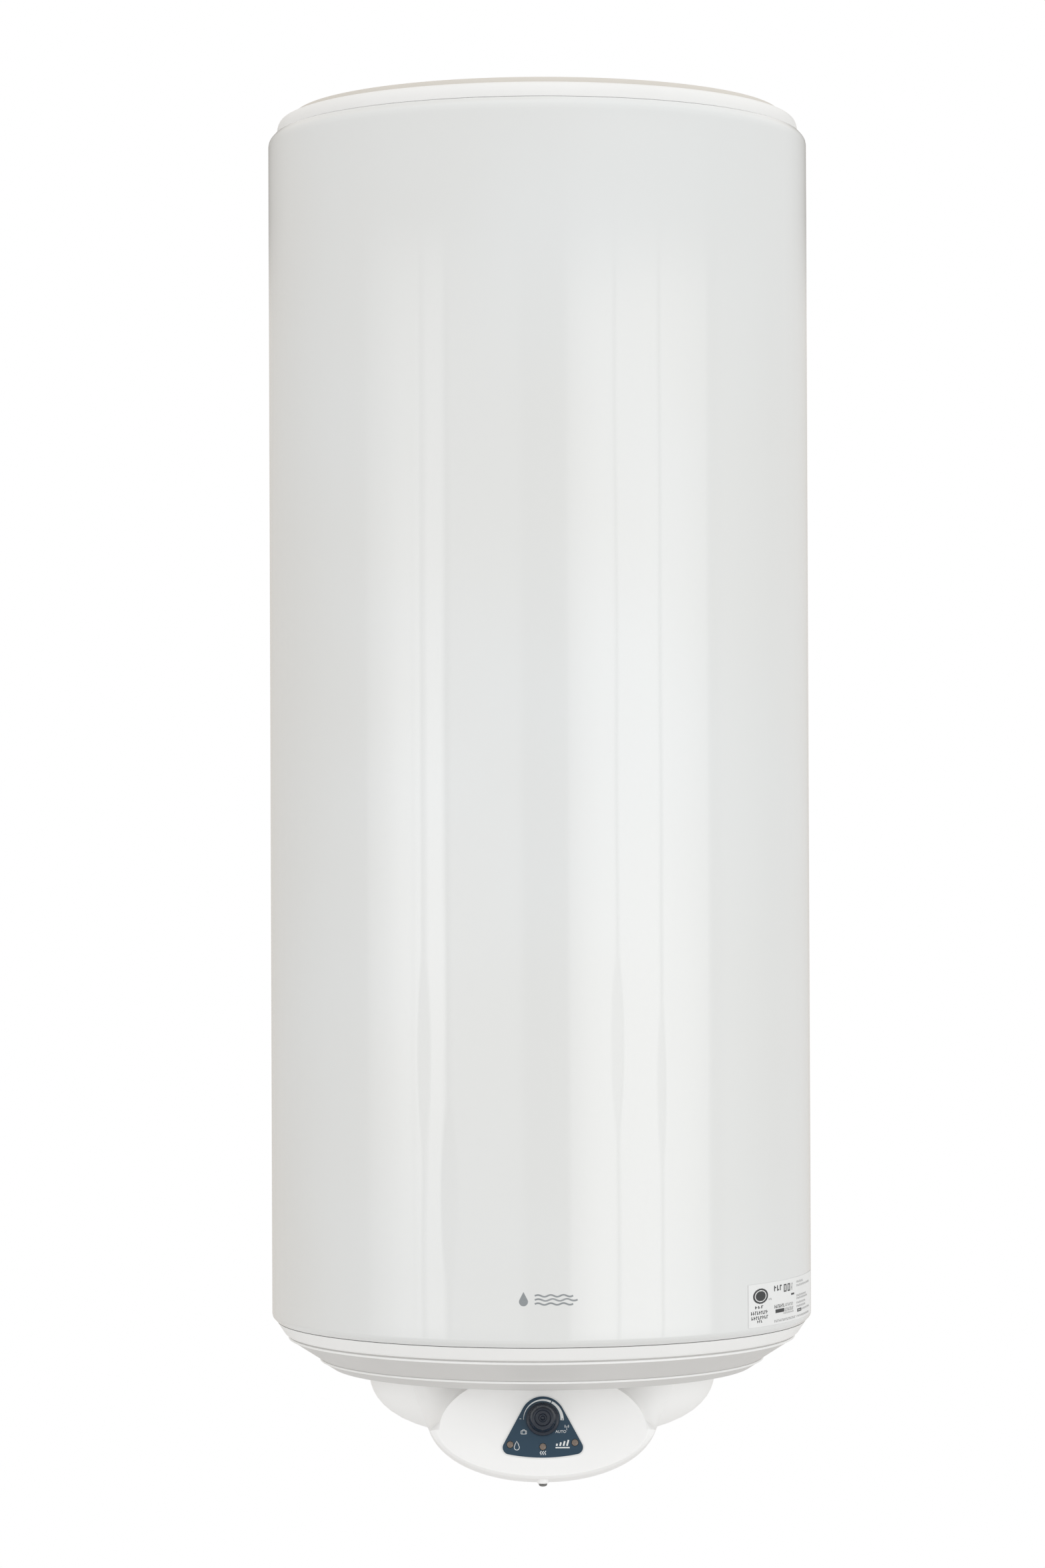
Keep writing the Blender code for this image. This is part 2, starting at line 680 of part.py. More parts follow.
def make_anode():
    """The protective anode rod, its insulating bush through the plate, and the nut under it."""
    bush_top = PLATE_TOP + 0.0065
    bush_low = PLATE_BOTTOM - 0.0020
    bush = [
        (0.0140, bush_top),
        (0.0140, PLATE_TOP + GAP),
        (BUSH_RADIUS, PLATE_TOP + GAP),
        (BUSH_RADIUS, bush_low),
        (ANODE_STUD_RADIUS + GAP, bush_low),
        (ANODE_STUD_RADIUS + GAP, bush_top),
    ]
    turned("anode_insulator", bush, "nylon", PIPE_SEGMENTS, location=ANODE_PLACE)
    anode = [
        (0.0, ANODE_TOP),
        (0.0080, ANODE_TOP - 0.002),
        (ANODE_RADIUS, ANODE_TOP - 0.008),
        (ANODE_RADIUS, bush_top + GAP),
        (ANODE_STUD_RADIUS, bush_top + GAP),
        (ANODE_STUD_RADIUS, bush_low - 0.0075),
        (0.0, bush_low - 0.0075),
    ]
    turned("anode_rod", anode, "anode_metal", SMALL_SEGMENTS, location=ANODE_PLACE)
    nut_top = bush_low - GAP
    hexagon = circle(BOLT_HEAD_RADIUS, segments=6)
    bore = circle(ANODE_STUD_RADIUS + 0.0005)
    prism("anode_nut", hexagon, nut_top - 0.005, nut_top, "zinc_screw", [bore], location=ANODE_PLACE)


# ---- Water connections ----


def make_pipes():
    """The two threaded ends under the heater and the coloured rings that tell them apart."""
    chamfer = 0.0010
    profile = [
        (PIPE_RADIUS, PIPE_TOP),
        (PIPE_RADIUS, PIPE_LOW + chamfer),
        (PIPE_RADIUS - chamfer, PIPE_LOW),
        (PIPE_BORE, PIPE_LOW),
        (PIPE_BORE, PIPE_TOP),
    ]
    ring_top = COVER_BOTTOM - GAP
    pipes = (("hot", "hot_outlet_pipe", -1, "signal_red"), ("cold", "cold_inlet_pipe", 1, "signal_blue"))
    for label, name, side, ring_colour in pipes:
        spot = pipe_place(side)
        turned(name, profile, "galvanised_steel", PIPE_SEGMENTS, location=spot)
        sleeve(
            f"{label}_pipe_ring",
            PIPE_RING_RADIUS,
            PIPE_RADIUS + GAP,
            ring_top - PIPE_RING_HEIGHT,
            ring_top,
            ring_colour,
            PIPE_SEGMENTS,
            location=spot,
        )


def make_hot_dip_tube():
    radius = PIPE_BORE - GAP
    bore = radius - 0.0012
    spot = pipe_place(-1)
    sleeve("hot_dip_tube", radius, bore, 0.030, DIP_TUBE_TOP, "stainless", PIPE_SEGMENTS, location=spot)


def make_cold_diffuser():
    """A capped sleeve over the inlet, with four side windows that spread the cold water sideways."""
    profile = [
        (0.0, DIFFUSER_TOP),
        (0.0140, DIFFUSER_TOP),
        (DIFFUSER_RADIUS, DIFFUSER_TOP - 0.004),
        (DIFFUSER_RADIUS, DIFFUSER_LOW),
        (PIPE_RADIUS + GAP, DIFFUSER_LOW),
        (PIPE_RADIUS + GAP, DIFFUSER_TOP - 0.006),
        (0.0, DIFFUSER_TOP - 0.004),
    ]
    spot = pipe_place(1)
    diffuser = turned("cold_diffuser", profile, "nylon", PIPE_SEGMENTS, location=spot)
    window_centre = (0.0, 0.0, DIFFUSER_TOP - 0.017)
    for axis, size in (("x", (0.060, 0.012, 0.014)), ("y", (0.012, 0.060, 0.014))):
        combine(diffuser, block(f"diffuser_window_{axis}", size, window_centre, None, location=spot))


# ---- Wall brackets ----


def bracket_outline():
    """A bracket's plan, from the wall at AXIS_Y below: ends, sloping sides, and an arc to fit the tank."""
    wall = -AXIS_Y
    half = BRACKET_WIDTH / 2
    seat = TANK_RADIUS + 0.0006
    outline = [(-half, wall), (half, wall), (half, wall - BRACKET_END_DEPTH)]
    steps = 10
    for i in range(steps + 1):
        x = BRACKET_ARC_HALF - 2 * BRACKET_ARC_HALF * i / steps
        outline.append((x, sqrt(seat**2 - x**2)))
    outline.append((-half, wall - BRACKET_END_DEPTH))
    return outline


def make_brackets():
    """Each bracket is a channel: a web on the wall and two flanges that reach in to the tank."""
    wall = -AXIS_Y
    for name, level in bracket_levels():
        spot = (0.0, 0.0, level)
        high = BRACKET_HEIGHT / 2
        bracket = prism(f"{name}_bracket", bracket_outline(), -high, high, "galvanised_steel", location=spot)
        pocket_size = (BRACKET_WIDTH + 0.02, 0.200, BRACKET_HEIGHT - 2 * BRACKET_WALL)
        pocket_centre = (0.0, wall - BRACKET_WALL - 0.100, 0.0)
        combine(bracket, block(f"{name}_bracket_pocket", pocket_size, pocket_centre, None, location=spot))
        for side in (-1, 1):
            centre = (side * BOLT_SPACING / 2, wall, 0.0)
            size = (SLOT_WIDTH, 0.020, SLOT_HEIGHT)
            slot = block(f"{name}_slot_{side + 1}", size, centre, None, 0.003, location=spot)
            combine(bracket, slot)


# ---- Service cover ----


def bowl_rings(inset, extra_height):
    """Level rings of the wide rear bowl, from above the rim down to its flat floor."""
    count = 32
    rings = []
    for step in (-1.0, 0.0, 0.30, 0.55, 0.74, 0.88, 0.97):
        share = max(step, 0.0)
        scale = (1.0 - share**2.2) ** (1.0 / 3.1)
        height = COVER_BOTTOM - 0.002 - share * (BOWL_DEPTH - 0.002 - inset)
        if step < 0.0:
            height += extra_height
        ring = []
        for i in range(count):
            angle = 2 * pi * i / count
            across = abs(cos(angle)) ** 0.87 * (1 if cos(angle) > 0 else -1)
            along = abs(sin(angle)) ** 0.87 * (1 if sin(angle) > 0 else -1)
            x = (BOWL_HALF_WIDTH * scale - inset) * across
            y = BOWL_CENTRE_Y + (BOWL_HALF_DEPTH * scale - inset) * along
            ring.append((x, y, height))
        rings.append(ring)
    return rings


def drum_half_width(height):
    drop = abs(height - DRUM_CENTRE) / DRUM_DOWN
    return DRUM_HALF_WIDTH * max(1.0 - drop**DRUM_EXPONENT, 0.0) ** (1.0 / DRUM_EXPONENT)


def face_point(angle, inset):
    """A point on the oval face edge; angle runs from the right side up and round, in degrees."""
    rise = (FACE_UP if sin(radians(angle)) > 0 else FACE_DOWN) - inset
    return (FACE_HALF_WIDTH - inset) * cos(radians(angle)), FACE_CENTRE + rise * sin(radians(angle))


def lower_drum_points(inset, down_scale=1.0):
    """The drum's lower edge from the right ledge round the bottom to the left ledge."""
    points = []
    steps = 14
    fullness = 2.0 / DRUM_EXPONENT
    for i in range(steps + 1):
        angle = radians(-LEDGE_ANGLE - (180.0 - 2 * LEDGE_ANGLE) * i / steps)
        across = abs(cos(angle)) ** fullness * (1 if cos(angle) > 0 else -1)
        drop = abs(sin(angle)) ** fullness
        x = (DRUM_HALF_WIDTH - inset) * across
        points.append((x, DRUM_CENTRE - (DRUM_DOWN - inset) * drop * down_scale))
    return points


def cheek_line(share, inset):
    """The cheek edge from the ledge, share 0, up past the cover's top, share 1."""
    low_x = drum_half_width(LEDGE_HEIGHT) - inset
    slope = (CHEEK_TOP_HALF_WIDTH - inset - low_x) / (CHEEK_TOP_HEIGHT - LEDGE_HEIGHT)
    height = LEDGE_HEIGHT + 0.004 + share * 0.060
    return low_x + slope * (height - LEDGE_HEIGHT), height


def nose_rings(inset, front):
    """Rings of the nose along the face normal: oval face, rim, cheek crease, drum back and tail."""
    upper_steps = 3
    lower = lower_drum_points(inset)
    face_low = []
    for i in range(len(lower)):
        angle = -180.0 * i / (len(lower) - 1)
        face_low.append(face_point(angle, inset))
    face_right = [face_point(9.0 + 66.0 * i / upper_steps, inset) for i in range(upper_steps + 1)]
    cheek_right = [cheek_line(i / upper_steps, inset) for i in range(upper_steps + 1)]
    rings = []
    plan = (
        (front, 0.0, 0.0),
        (RIM_SETBACK + inset, 1.0, RIM_SETBACK / CHEEK_SETBACK),
        (CHEEK_SETBACK, 1.0, 1.0),
        (DRUM_SETBACK, 1.0, 1.0),
        (TAIL_SETBACK, 1.0, 1.0),
    )
    for setback, low_share, cheek_share in plan:
        tail = setback == TAIL_SETBACK
        low_points = lower_drum_points(inset, 0.12) if tail else lower
        ring = []
        for near, far in zip(face_low, low_points):
            ring.append(blend(near, far, low_share))
        left = [(-x, y) for x, y in face_right]
        cheek_left = [(-x, y) for x, y in cheek_right]
        for near, far in zip(left, cheek_left):
            ring.append(blend(near, far, cheek_share))
        for near, far in zip(reversed(face_right), reversed(cheek_right)):
            ring.append(blend(near, far, cheek_share))
        lift = TAIL_LIFT if tail else 0.0
        top = len(low_points)
        points = []
        for index, (x, y) in enumerate(ring):
            points.append((x, y + (lift if index >= top else 0.0), -setback))
        rings.append(points)
    return rings


def blend(near, far, share):
    return near[0] + (far[0] - near[0]) * share, near[1] + (far[1] - near[1]) * share


def make_service_cover():
    """One hollow plastic shell: the bowl, the tilted nose with its oval face, bosses and openings."""
    wall = COVER_THICKNESS
    cover = loft("service_cover", bowl_rings(0.0, 0.030), "capot_plastic")
    nose = loft("nose_outside", nose_rings(0.0, 0.0), None, parent=FACE_FRAME)
    combine(cover, nose, "UNION")
    combine(cover, loft("bowl_inside", bowl_rings(wall, 0.040), None))
    combine(cover, loft("nose_inside", nose_rings(wall, wall), None, parent=FACE_FRAME))
    top_size = (0.400, 0.400, 0.080)
    combine(cover, block("cover_top_plane", top_size, (0.0, 0.0, COVER_BOTTOM - GAP + 0.040), None))
    in_face = {"segments": SMALL_SEGMENTS, "parent": FACE_FRAME}
    for side in (-1, 1):
        spot = (side * 0.037, 0.006, 0.0)
        post = rod(f"board_post_{side + 1}", 0.0035, BOARD_TOP + GAP, -0.001, None, location=spot, **in_face)
        combine(cover, post, "UNION")
    boss = rod("screw_boss", SCREW_BOSS_RADIUS, SCREW_BOSS_LOW, -0.118, None, location=SCREW_PLACE)
    combine(cover, boss, "UNION")
    cut_hole(cover, "shaft_hole", SHAFT_HOLE_RADIUS, -0.006, 0.004, **in_face)
    for name, x, y in LENS_PLACES:
        cut_hole(cover, f"lens_hole_{name}", LENS_RADIUS + GAP, -0.006, 0.004, (x, y, 0.0), **in_face)
    gland = {"segments": SMALL_SEGMENTS, "rotation": (radians(-90.0), 0.0, 0.0)}
    bore = {"segments": HOLE_SEGMENTS, "rotation": (0.0, 0.0, 0.2)}
    cut_hole(cover, "gland_hole", GLAND_HOLE_RADIUS, -0.012, 0.012, GLAND_PLACE, **gland)
    cut_hole(cover, "screw_bore", SCREW_BORE, -0.150, -0.110, SCREW_PLACE, **bore)


def make_cover_screw():
    head_top = SCREW_BOSS_LOW - GAP
    profile = [
        (0.0, head_top + 0.017),
        (0.0020, head_top + 0.016),
        (0.0020, head_top),
        (0.0040, head_top),
        (0.0038, head_top - 0.0012),
        (0.0026, head_top - 0.0024),
        (0.0, head_top - 0.0028),
    ]
    turned("cover_screw", profile, "zinc_screw", SMALL_SEGMENTS, location=SCREW_PLACE)


def make_cable_grommet():
    """The rubber cable entry in the back of the service cover."""
    profile = [
        (0.0075, 0.0065),
        (0.0120, 0.0045),
        (0.0120, 0.0030),
        (0.0090, 0.0030),
        (0.0090, -0.0060),
        (0.0048, -0.0060),
        (0.0048, 0.0065),
    ]
    turn = (radians(-90.0), 0.0, 0.0)
    turned("cable_grommet", profile, "gasket_rubber", SMALL_SEGMENTS, location=GLAND_PLACE, rotation=turn)


# ---- Controls, in the face frame ----


def label_outline():
    """A rounded triangle: an arc round the knob, two small lower corners and a bowed lower edge."""
    apex_radius = 0.0205
    corner_radius = 0.0062
    corner_x = 0.0300
    corner_y = -0.0252
    step_down = apex_radius - corner_radius
    reach = sqrt(corner_x**2 + corner_y**2 - step_down**2)
    tangent = atan2(corner_y, corner_x) + pi / 2 - atan2(step_down, reach)
    outline = []
    steps = 10
    for i in range(steps + 1):
        angle = tangent + (pi - 2 * tangent) * i / steps
        outline.append((apex_radius * cos(angle), apex_radius * sin(angle)))
    corner_end = radians(-81.0)
    corner_steps = 5
    corner = []
    for i in range(corner_steps + 1):
        angle = tangent + (corner_end - tangent) * i / corner_steps
        corner.append((corner_x + corner_radius * cos(angle), corner_y + corner_radius * sin(angle)))
    low_x, low_y = corner[-1]
    bow = [(low_x * share, low_y - 0.0030 * (1.0 - share**2)) for share in (-0.6, -0.2, 0.2, 0.6)]
    outline += [(-x, y) for x, y in corner]
    outline += bow
    outline += list(reversed(corner))
    return outline


def make_control_label():
    holes = [circle(SHAFT_HOLE_RADIUS)]
    for name, x, y in LENS_PLACES:
        holes.append(circle(LENS_RADIUS + GAP, (x, y)))
    prism("control_label", label_outline(), LABEL_LOW, LABEL_HIGH, "label_slate", holes, parent=FACE_FRAME)


def make_control_knob():
    """A round knob with stepped rings, a dimpled end and an index notch in its skirt."""
    high = KNOB_LOW + KNOB_LENGTH
    bore = SHAFT_RADIUS + GAP
    profile = [
        (0.0, high - 0.0016),
        (0.0026, high - 0.0012),
        (0.0042, high),
        (0.0090, high - 0.0006),
        (0.0104, high - 0.0022),
        (0.0118, high - 0.0055),
        (0.0124, high - 0.0100),
        (0.0140, high - 0.0112),
        (KNOB_RADIUS, high - 0.0128),
        (KNOB_RADIUS, KNOB_LOW),
        (bore, KNOB_LOW),
        (bore, KNOB_LOW + 0.0085),
        (0.0, KNOB_LOW + 0.0085),
    ]
    knob = turned("control_knob", profile, "knob_black", 24, parent=FACE_FRAME)
    notch_centre = (0.0, KNOB_RADIUS - 0.0006, KNOB_LOW + 0.0020)
    notch = block("knob_index_notch", (0.0012, 0.0026, 0.0050), notch_centre, None, parent=FACE_FRAME)
    combine(knob, notch)
    rod("knob_shaft", SHAFT_RADIUS, -0.0105, KNOB_LOW + 0.0080, "brass", SMALL_SEGMENTS, parent=FACE_FRAME)


def make_potentiometer():
    profile = [
        (0.0060, -0.0035),
        (0.0060, -0.0055),
        (0.0090, -0.0055),
        (0.0090, BOARD_TOP + GAP),
        (SHAFT_RADIUS + GAP, BOARD_TOP + GAP),
        (SHAFT_RADIUS + GAP, -0.0035),
    ]
    turned("potentiometer", profile, "component_black", SMALL_SEGMENTS, parent=FACE_FRAME)


def make_lenses():
    """Three light guides from the board out to the label."""
    low = BOARD_TOP + GAP
    for name, x, y in LENS_PLACES:
        profile = [(0.0, 0.0017), (0.0020, 0.0016), (LENS_RADIUS, 0.0012), (LENS_RADIUS, low), (0.0, low)]
        turned(f"led_lens_{name}", profile, "lens_smoke", 12, parent=FACE_FRAME, location=(x, y, 0.0))


def make_control_board():
    low = BOARD_TOP - BOARD_THICKNESS
    size = (0.088, 0.048, BOARD_THICKNESS)
    block("control_board", size, (0.0, -0.008, (BOARD_TOP + low) / 2), "board_green", parent=FACE_FRAME)


def make_backup_battery():
    """The cell pack that feeds the anode circuit while the mains is off, behind the control board."""
    centre = (-0.020, -0.008, BOARD_TOP - BOARD_THICKNESS - GAP - 0.0075)
    block("backup_battery", (0.042, 0.030, 0.015), centre, "battery_wrap", 0.002, parent=FACE_FRAME)


# ---- Thermostat under the flange ----


def make_thermostat_housing():
    """A tray, open below, held off the flange by two pillars."""
    middle = (HOUSING_TOP + HOUSING_LOW) / 2
    size = (HOUSING_WIDTH, HOUSING_DEPTH, HOUSING_TOP - HOUSING_LOW)
    tray = block("thermostat_housing", size, (0.0, HOUSING_CENTRE_Y, middle), "housing_grey", 0.003)
    inner_size = (size[0] - 2 * HOUSING_WALL, size[1] - 2 * HOUSING_WALL, size[2])
    inner_centre = (0.0, HOUSING_CENTRE_Y, middle - HOUSING_WALL)
    combine(tray, block("housing_hollow", inner_size, inner_centre, None))
    combine(tray, block("housing_wire_gap", (0.030, 0.010, 0.014), (0.0, 0.033, HOUSING_LOW + 0.004), None))
    pillar_low = HOUSING_TOP - 0.001
    pillar_high = PLATE_BOTTOM - GAP
    for side in (-1, 1):
        spot = (side * 0.043, 0.0, 0.0)
        pillar = rod(f"housing_pillar_{side + 1}", 0.004, pillar_low, pillar_high, None, location=spot)
        combine(tray, pillar, "UNION")


def make_thermostat_board():
    middle = THERMO_BOARD_TOP - BOARD_THICKNESS / 2
    seat = THERMO_BOARD_TOP + GAP
    relay_size = (0.029, 0.013, 0.012)
    transformer_size = (0.026, 0.022, 0.011)
    block("thermostat_board", (0.098, 0.070, BOARD_THICKNESS), (0.0, HOUSING_CENTRE_Y, middle), "board_green")
    block("heater_relay", relay_size, (-0.028, 0.018, seat + relay_size[2] / 2), "component_black")
    transformer_centre = (0.030, -0.022, seat + transformer_size[2] / 2)
    block("board_transformer", transformer_size, transformer_centre, "battery_wrap")


def make_terminal_block():
    """Three clamp ways for the supply wires, each with a screw well below and a wire mouth behind."""
    high = THERMO_BOARD_TOP - BOARD_THICKNESS - GAP
    height = 0.016
    block_centre = (0.022, 0.014, high - height / 2)
    terminals = block("terminal_block", (0.036, 0.018, height), block_centre, "nylon", 0.001)
    for way in (-1, 0, 1):
        x = block_centre[0] + way * 0.011
        well = (0.0028, high - height - 0.002, high - 0.006)
        cut_hole(terminals, f"terminal_well_{way + 1}", *well, (x, 0.010, 0.0), HOLE_SEGMENTS)
        mouth_size = (0.006, 0.010, 0.006)
        combine(terminals, block(f"terminal_mouth_{way + 1}", mouth_size, (x, 0.022, high - 0.010), None))


def make_safety_cutout():
    """The overheat cut-out: a stepped drum with the reset button's guide through its lower end."""
    high = THERMO_BOARD_TOP - BOARD_THICKNESS - GAP
    low = high - 0.015
    profile = [
        (0.0, high),
        (CUTOUT_RADIUS, high),
        (CUTOUT_RADIUS, high - 0.006),
        (CUTOUT_GUIDE_RADIUS, high - 0.007),
        (CUTOUT_GUIDE_RADIUS, low),
        (CUTOUT_BORE, low),
        (CUTOUT_BORE, low + 0.010),
        (0.0, low + 0.010),
    ]
    turned("safety_cutout", profile, "component_black", PIPE_SEGMENTS, location=CUTOUT_PLACE)
    button = [
        (0.0, low + 0.0065),
        (CUTOUT_BORE - 0.0005, low + 0.0065),
        (CUTOUT_BORE - 0.0005, low - 0.0030),
        (CUTOUT_BORE - 0.0012, low - 0.0038),
        (0.0, low - 0.0040),
    ]
    turned("reset_button", button, "signal_red", SMALL_SEGMENTS, location=CUTOUT_PLACE)


def make_earth_stud():
    low = PLATE_BOTTOM - 0.012
    high = PLATE_BOTTOM - GAP
    profile = [
        (0.0, high),
        (0.0060, high),
        (0.0060, high - 0.004),
        (0.0025, high - 0.004),
        (0.0025, low),
        (0.0, low),
    ]
    turned("earth_stud", profile, "brass", SMALL_SEGMENTS, location=(0.0, -0.050, 0.0))


def smooth_route(points, steps=3):
    """A Catmull-Rom curve through the points, with this many steps between each pair."""
    knots = [Vector(point) for point in points]
    knots = [2 * knots[0] - knots[1], *knots, 2 * knots[-1] - knots[-2]]
    route = []
    for p0, p1, p2, p3 in zip(knots, knots[1:], knots[2:], knots[3:]):
        for i in range(steps):
            t = i / steps
            turn = (2 * p1) + (p2 - p0) * t + (2 * p0 - 5 * p1 + 4 * p2 - p3) * t * t
            route.append((turn + (3 * p1 - p0 - 3 * p2 + p3) * t**3) / 2)
    route.append(knots[-2])
    return route


def make_wires():
    """The leads inside the cover: two to the element, one to the anode, one to the controls."""
    level = (PLATE_BOTTOM - ELEMENT_DROP + HOUSING_TOP) / 2 - 0.0003
    for name, x in (("element_wire_live", -0.007), ("element_wire_neutral", 0.007)):
        points = [
            (x, SHEATH_PLACE[1], level),
            (x, 0.030, level),
            (1.6 * x, 0.0385, level - 0.004),
            (1.6 * x, 0.0395, -0.056),
            (1.6 * x, 0.0370, -0.0645),
            (1.6 * x, 0.0280, -0.0670),
        ]
        tube(name, smooth_route(points), ELEMENT_WIRE_RADIUS, "wire_grey")
    points = [
        (ANODE_PLACE[0] + 0.014, -0.040, -0.040),
        (0.046, -0.048, -0.046),
        (0.050, -0.049, -0.056),
        (0.046, -0.046, -0.068),
    ]
    tube("anode_wire", smooth_route(points), ANODE_WIRE_RADIUS, "wire_grey")
    points = [
        (0.010, -0.034, -0.068),
        (0.010, -0.060, -0.082),
        (0.010, -0.090, -0.092),
        (0.010, -0.116, -0.094),
    ]
    tube("control_lead", smooth_route(points), LEAD_RADIUS, "wire_grey")


# ---- Sticker ----


def make_rating_sticker():
    """A thin curved plate on the lower right of the jacket."""
    inner = JACKET_RADIUS + GAP
    outer = inner + STICKER_THICKNESS
    steps = 10
    angles = [radians(STICKER_START + (STICKER_END - STICKER_START) * i / steps) for i in range(steps + 1)]
    outline = [(outer * sin(a), -outer * cos(a)) for a in angles]
    outline += [(inner * sin(a), -inner * cos(a)) for a in reversed(angles)]
    prism("rating_sticker", outline, STICKER_LOW, STICKER_HIGH, "sticker_white")


def make_heater():
    make_jacket()
    make_top_cover()
    make_bottom_cover()
    make_foam()
    make_tank_shell()
    make_tank_top_dome()
    make_tank_bottom_dome()
    make_flange_neck()
    make_flange_gasket()
    make_flange_plate()
    make_flange_bolts()
    make_heater_sheath()
    make_heating_element()
    make_sensor_pocket()
    make_anode()
    make_pipes()
    make_hot_dip_tube()
    make_cold_diffuser()
    make_brackets()
    make_service_cover()
    make_cover_screw()
    make_cable_grommet()
    make_control_label()
    make_control_knob()
    make_potentiometer()
    make_lenses()
    make_control_board()
    make_backup_battery()
    make_thermostat_housing()
    make_thermostat_board()
    make_terminal_block()
    make_safety_cutout()
    make_earth_stud()
    make_wires()
    make_rating_sticker()


make_heater()
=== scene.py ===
"""Looks for the wall-hung tank water heater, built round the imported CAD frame.

World frame, in metres: the wall is y = 0, the heater stands off it towards -Y and +Z is up. Pieces of the
casing are made in the tank frame, whose origin is on the tank's axis at the jacket's bottom edge. Controls
are made in the face frame, whose origin is on the knob's axis and whose +Z points out of the face.
Profiles and prints are drawn in millimetres.
"""

import json
from math import acos, asin, atan2, cos, degrees, pi, radians, sin, sqrt

import bmesh
import bpy
from mathutils import Matrix, Vector, noise


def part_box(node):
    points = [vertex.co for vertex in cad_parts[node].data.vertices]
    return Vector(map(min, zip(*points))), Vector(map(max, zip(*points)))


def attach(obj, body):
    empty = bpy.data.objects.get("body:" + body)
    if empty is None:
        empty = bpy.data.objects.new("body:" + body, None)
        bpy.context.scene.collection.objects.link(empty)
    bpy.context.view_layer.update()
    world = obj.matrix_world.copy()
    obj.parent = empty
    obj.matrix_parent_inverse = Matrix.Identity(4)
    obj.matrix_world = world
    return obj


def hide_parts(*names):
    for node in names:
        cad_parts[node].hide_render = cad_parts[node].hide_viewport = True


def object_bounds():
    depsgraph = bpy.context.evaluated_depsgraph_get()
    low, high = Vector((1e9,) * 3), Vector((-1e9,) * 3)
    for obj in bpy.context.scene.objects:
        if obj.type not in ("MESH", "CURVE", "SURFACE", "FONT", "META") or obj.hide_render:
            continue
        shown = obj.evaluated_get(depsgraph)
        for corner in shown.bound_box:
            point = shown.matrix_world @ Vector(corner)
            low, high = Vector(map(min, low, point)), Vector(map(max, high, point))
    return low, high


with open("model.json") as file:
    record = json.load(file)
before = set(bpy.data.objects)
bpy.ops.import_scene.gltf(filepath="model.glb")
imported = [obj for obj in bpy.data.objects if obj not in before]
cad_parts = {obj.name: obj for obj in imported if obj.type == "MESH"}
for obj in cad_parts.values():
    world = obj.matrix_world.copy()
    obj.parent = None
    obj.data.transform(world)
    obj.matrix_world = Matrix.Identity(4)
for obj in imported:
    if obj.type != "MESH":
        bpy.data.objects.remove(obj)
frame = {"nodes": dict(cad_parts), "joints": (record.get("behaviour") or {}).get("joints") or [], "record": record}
CAD_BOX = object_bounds()

MM = 0.001
HEATER = "heater"
KNOB = "knob"
SLATE = (0.020, 0.052, 0.086)

# ---- The two frames that the pieces are made in, read from the CAD frame ----

JACKET_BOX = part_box("jacket")
JACKET_RADIUS = (JACKET_BOX[1].x - JACKET_BOX[0].x) / 2
JACKET_HEIGHT = JACKET_BOX[1].z - JACKET_BOX[0].z
AXIS_Y = (JACKET_BOX[0].y + JACKET_BOX[1].y) / 2
TANK = Matrix.Translation((0.0, AXIS_Y, JACKET_BOX[0].z))

KNOB_JOINT = next(joint for joint in frame["joints"] if joint["child"] == KNOB)
FACE_NORMAL = Vector(KNOB_JOINT["axis"])
FACE = Matrix.Translation(KNOB_JOINT["pos_m"]) @ Matrix.Rotation(acos(FACE_NORMAL.z), 4, "X")


def tank_box(node):
    """A CAD node's lowest and highest corner in the tank frame."""
    low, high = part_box(node)
    return low - TANK.translation, high - TANK.translation


def plan_middle(node):
    """The middle of a CAD node in plan, in the tank frame."""
    low, high = tank_box(node)
    return (low.x + high.x) / 2, (low.y + high.y) / 2


# ---- Materials ----


def set_inputs(node, **values):
    """Sets a node's inputs by name, with an underscore for each space."""
    for name, value in values.items():
        node.inputs[name.replace("_", " ")].default_value = value
    return node


def colour_ramp(tree, value, stops, interpolation="LINEAR"):
    """A ramp over a value, from (position, grey or colour) stops."""
    node = tree.nodes.new("ShaderNodeValToRGB")
    node.color_ramp.interpolation = interpolation
    elements = node.color_ramp.elements
    while len(elements) < len(stops):
        elements.new(1.0)
    for element, (position, level) in zip(elements, stops):
        element.position = position
        element.color = (level, level, level, 1.0) if isinstance(level, float) else (*level, 1.0)
    tree.links.new(value, node.inputs["Fac"])
    return node.outputs["Color"]


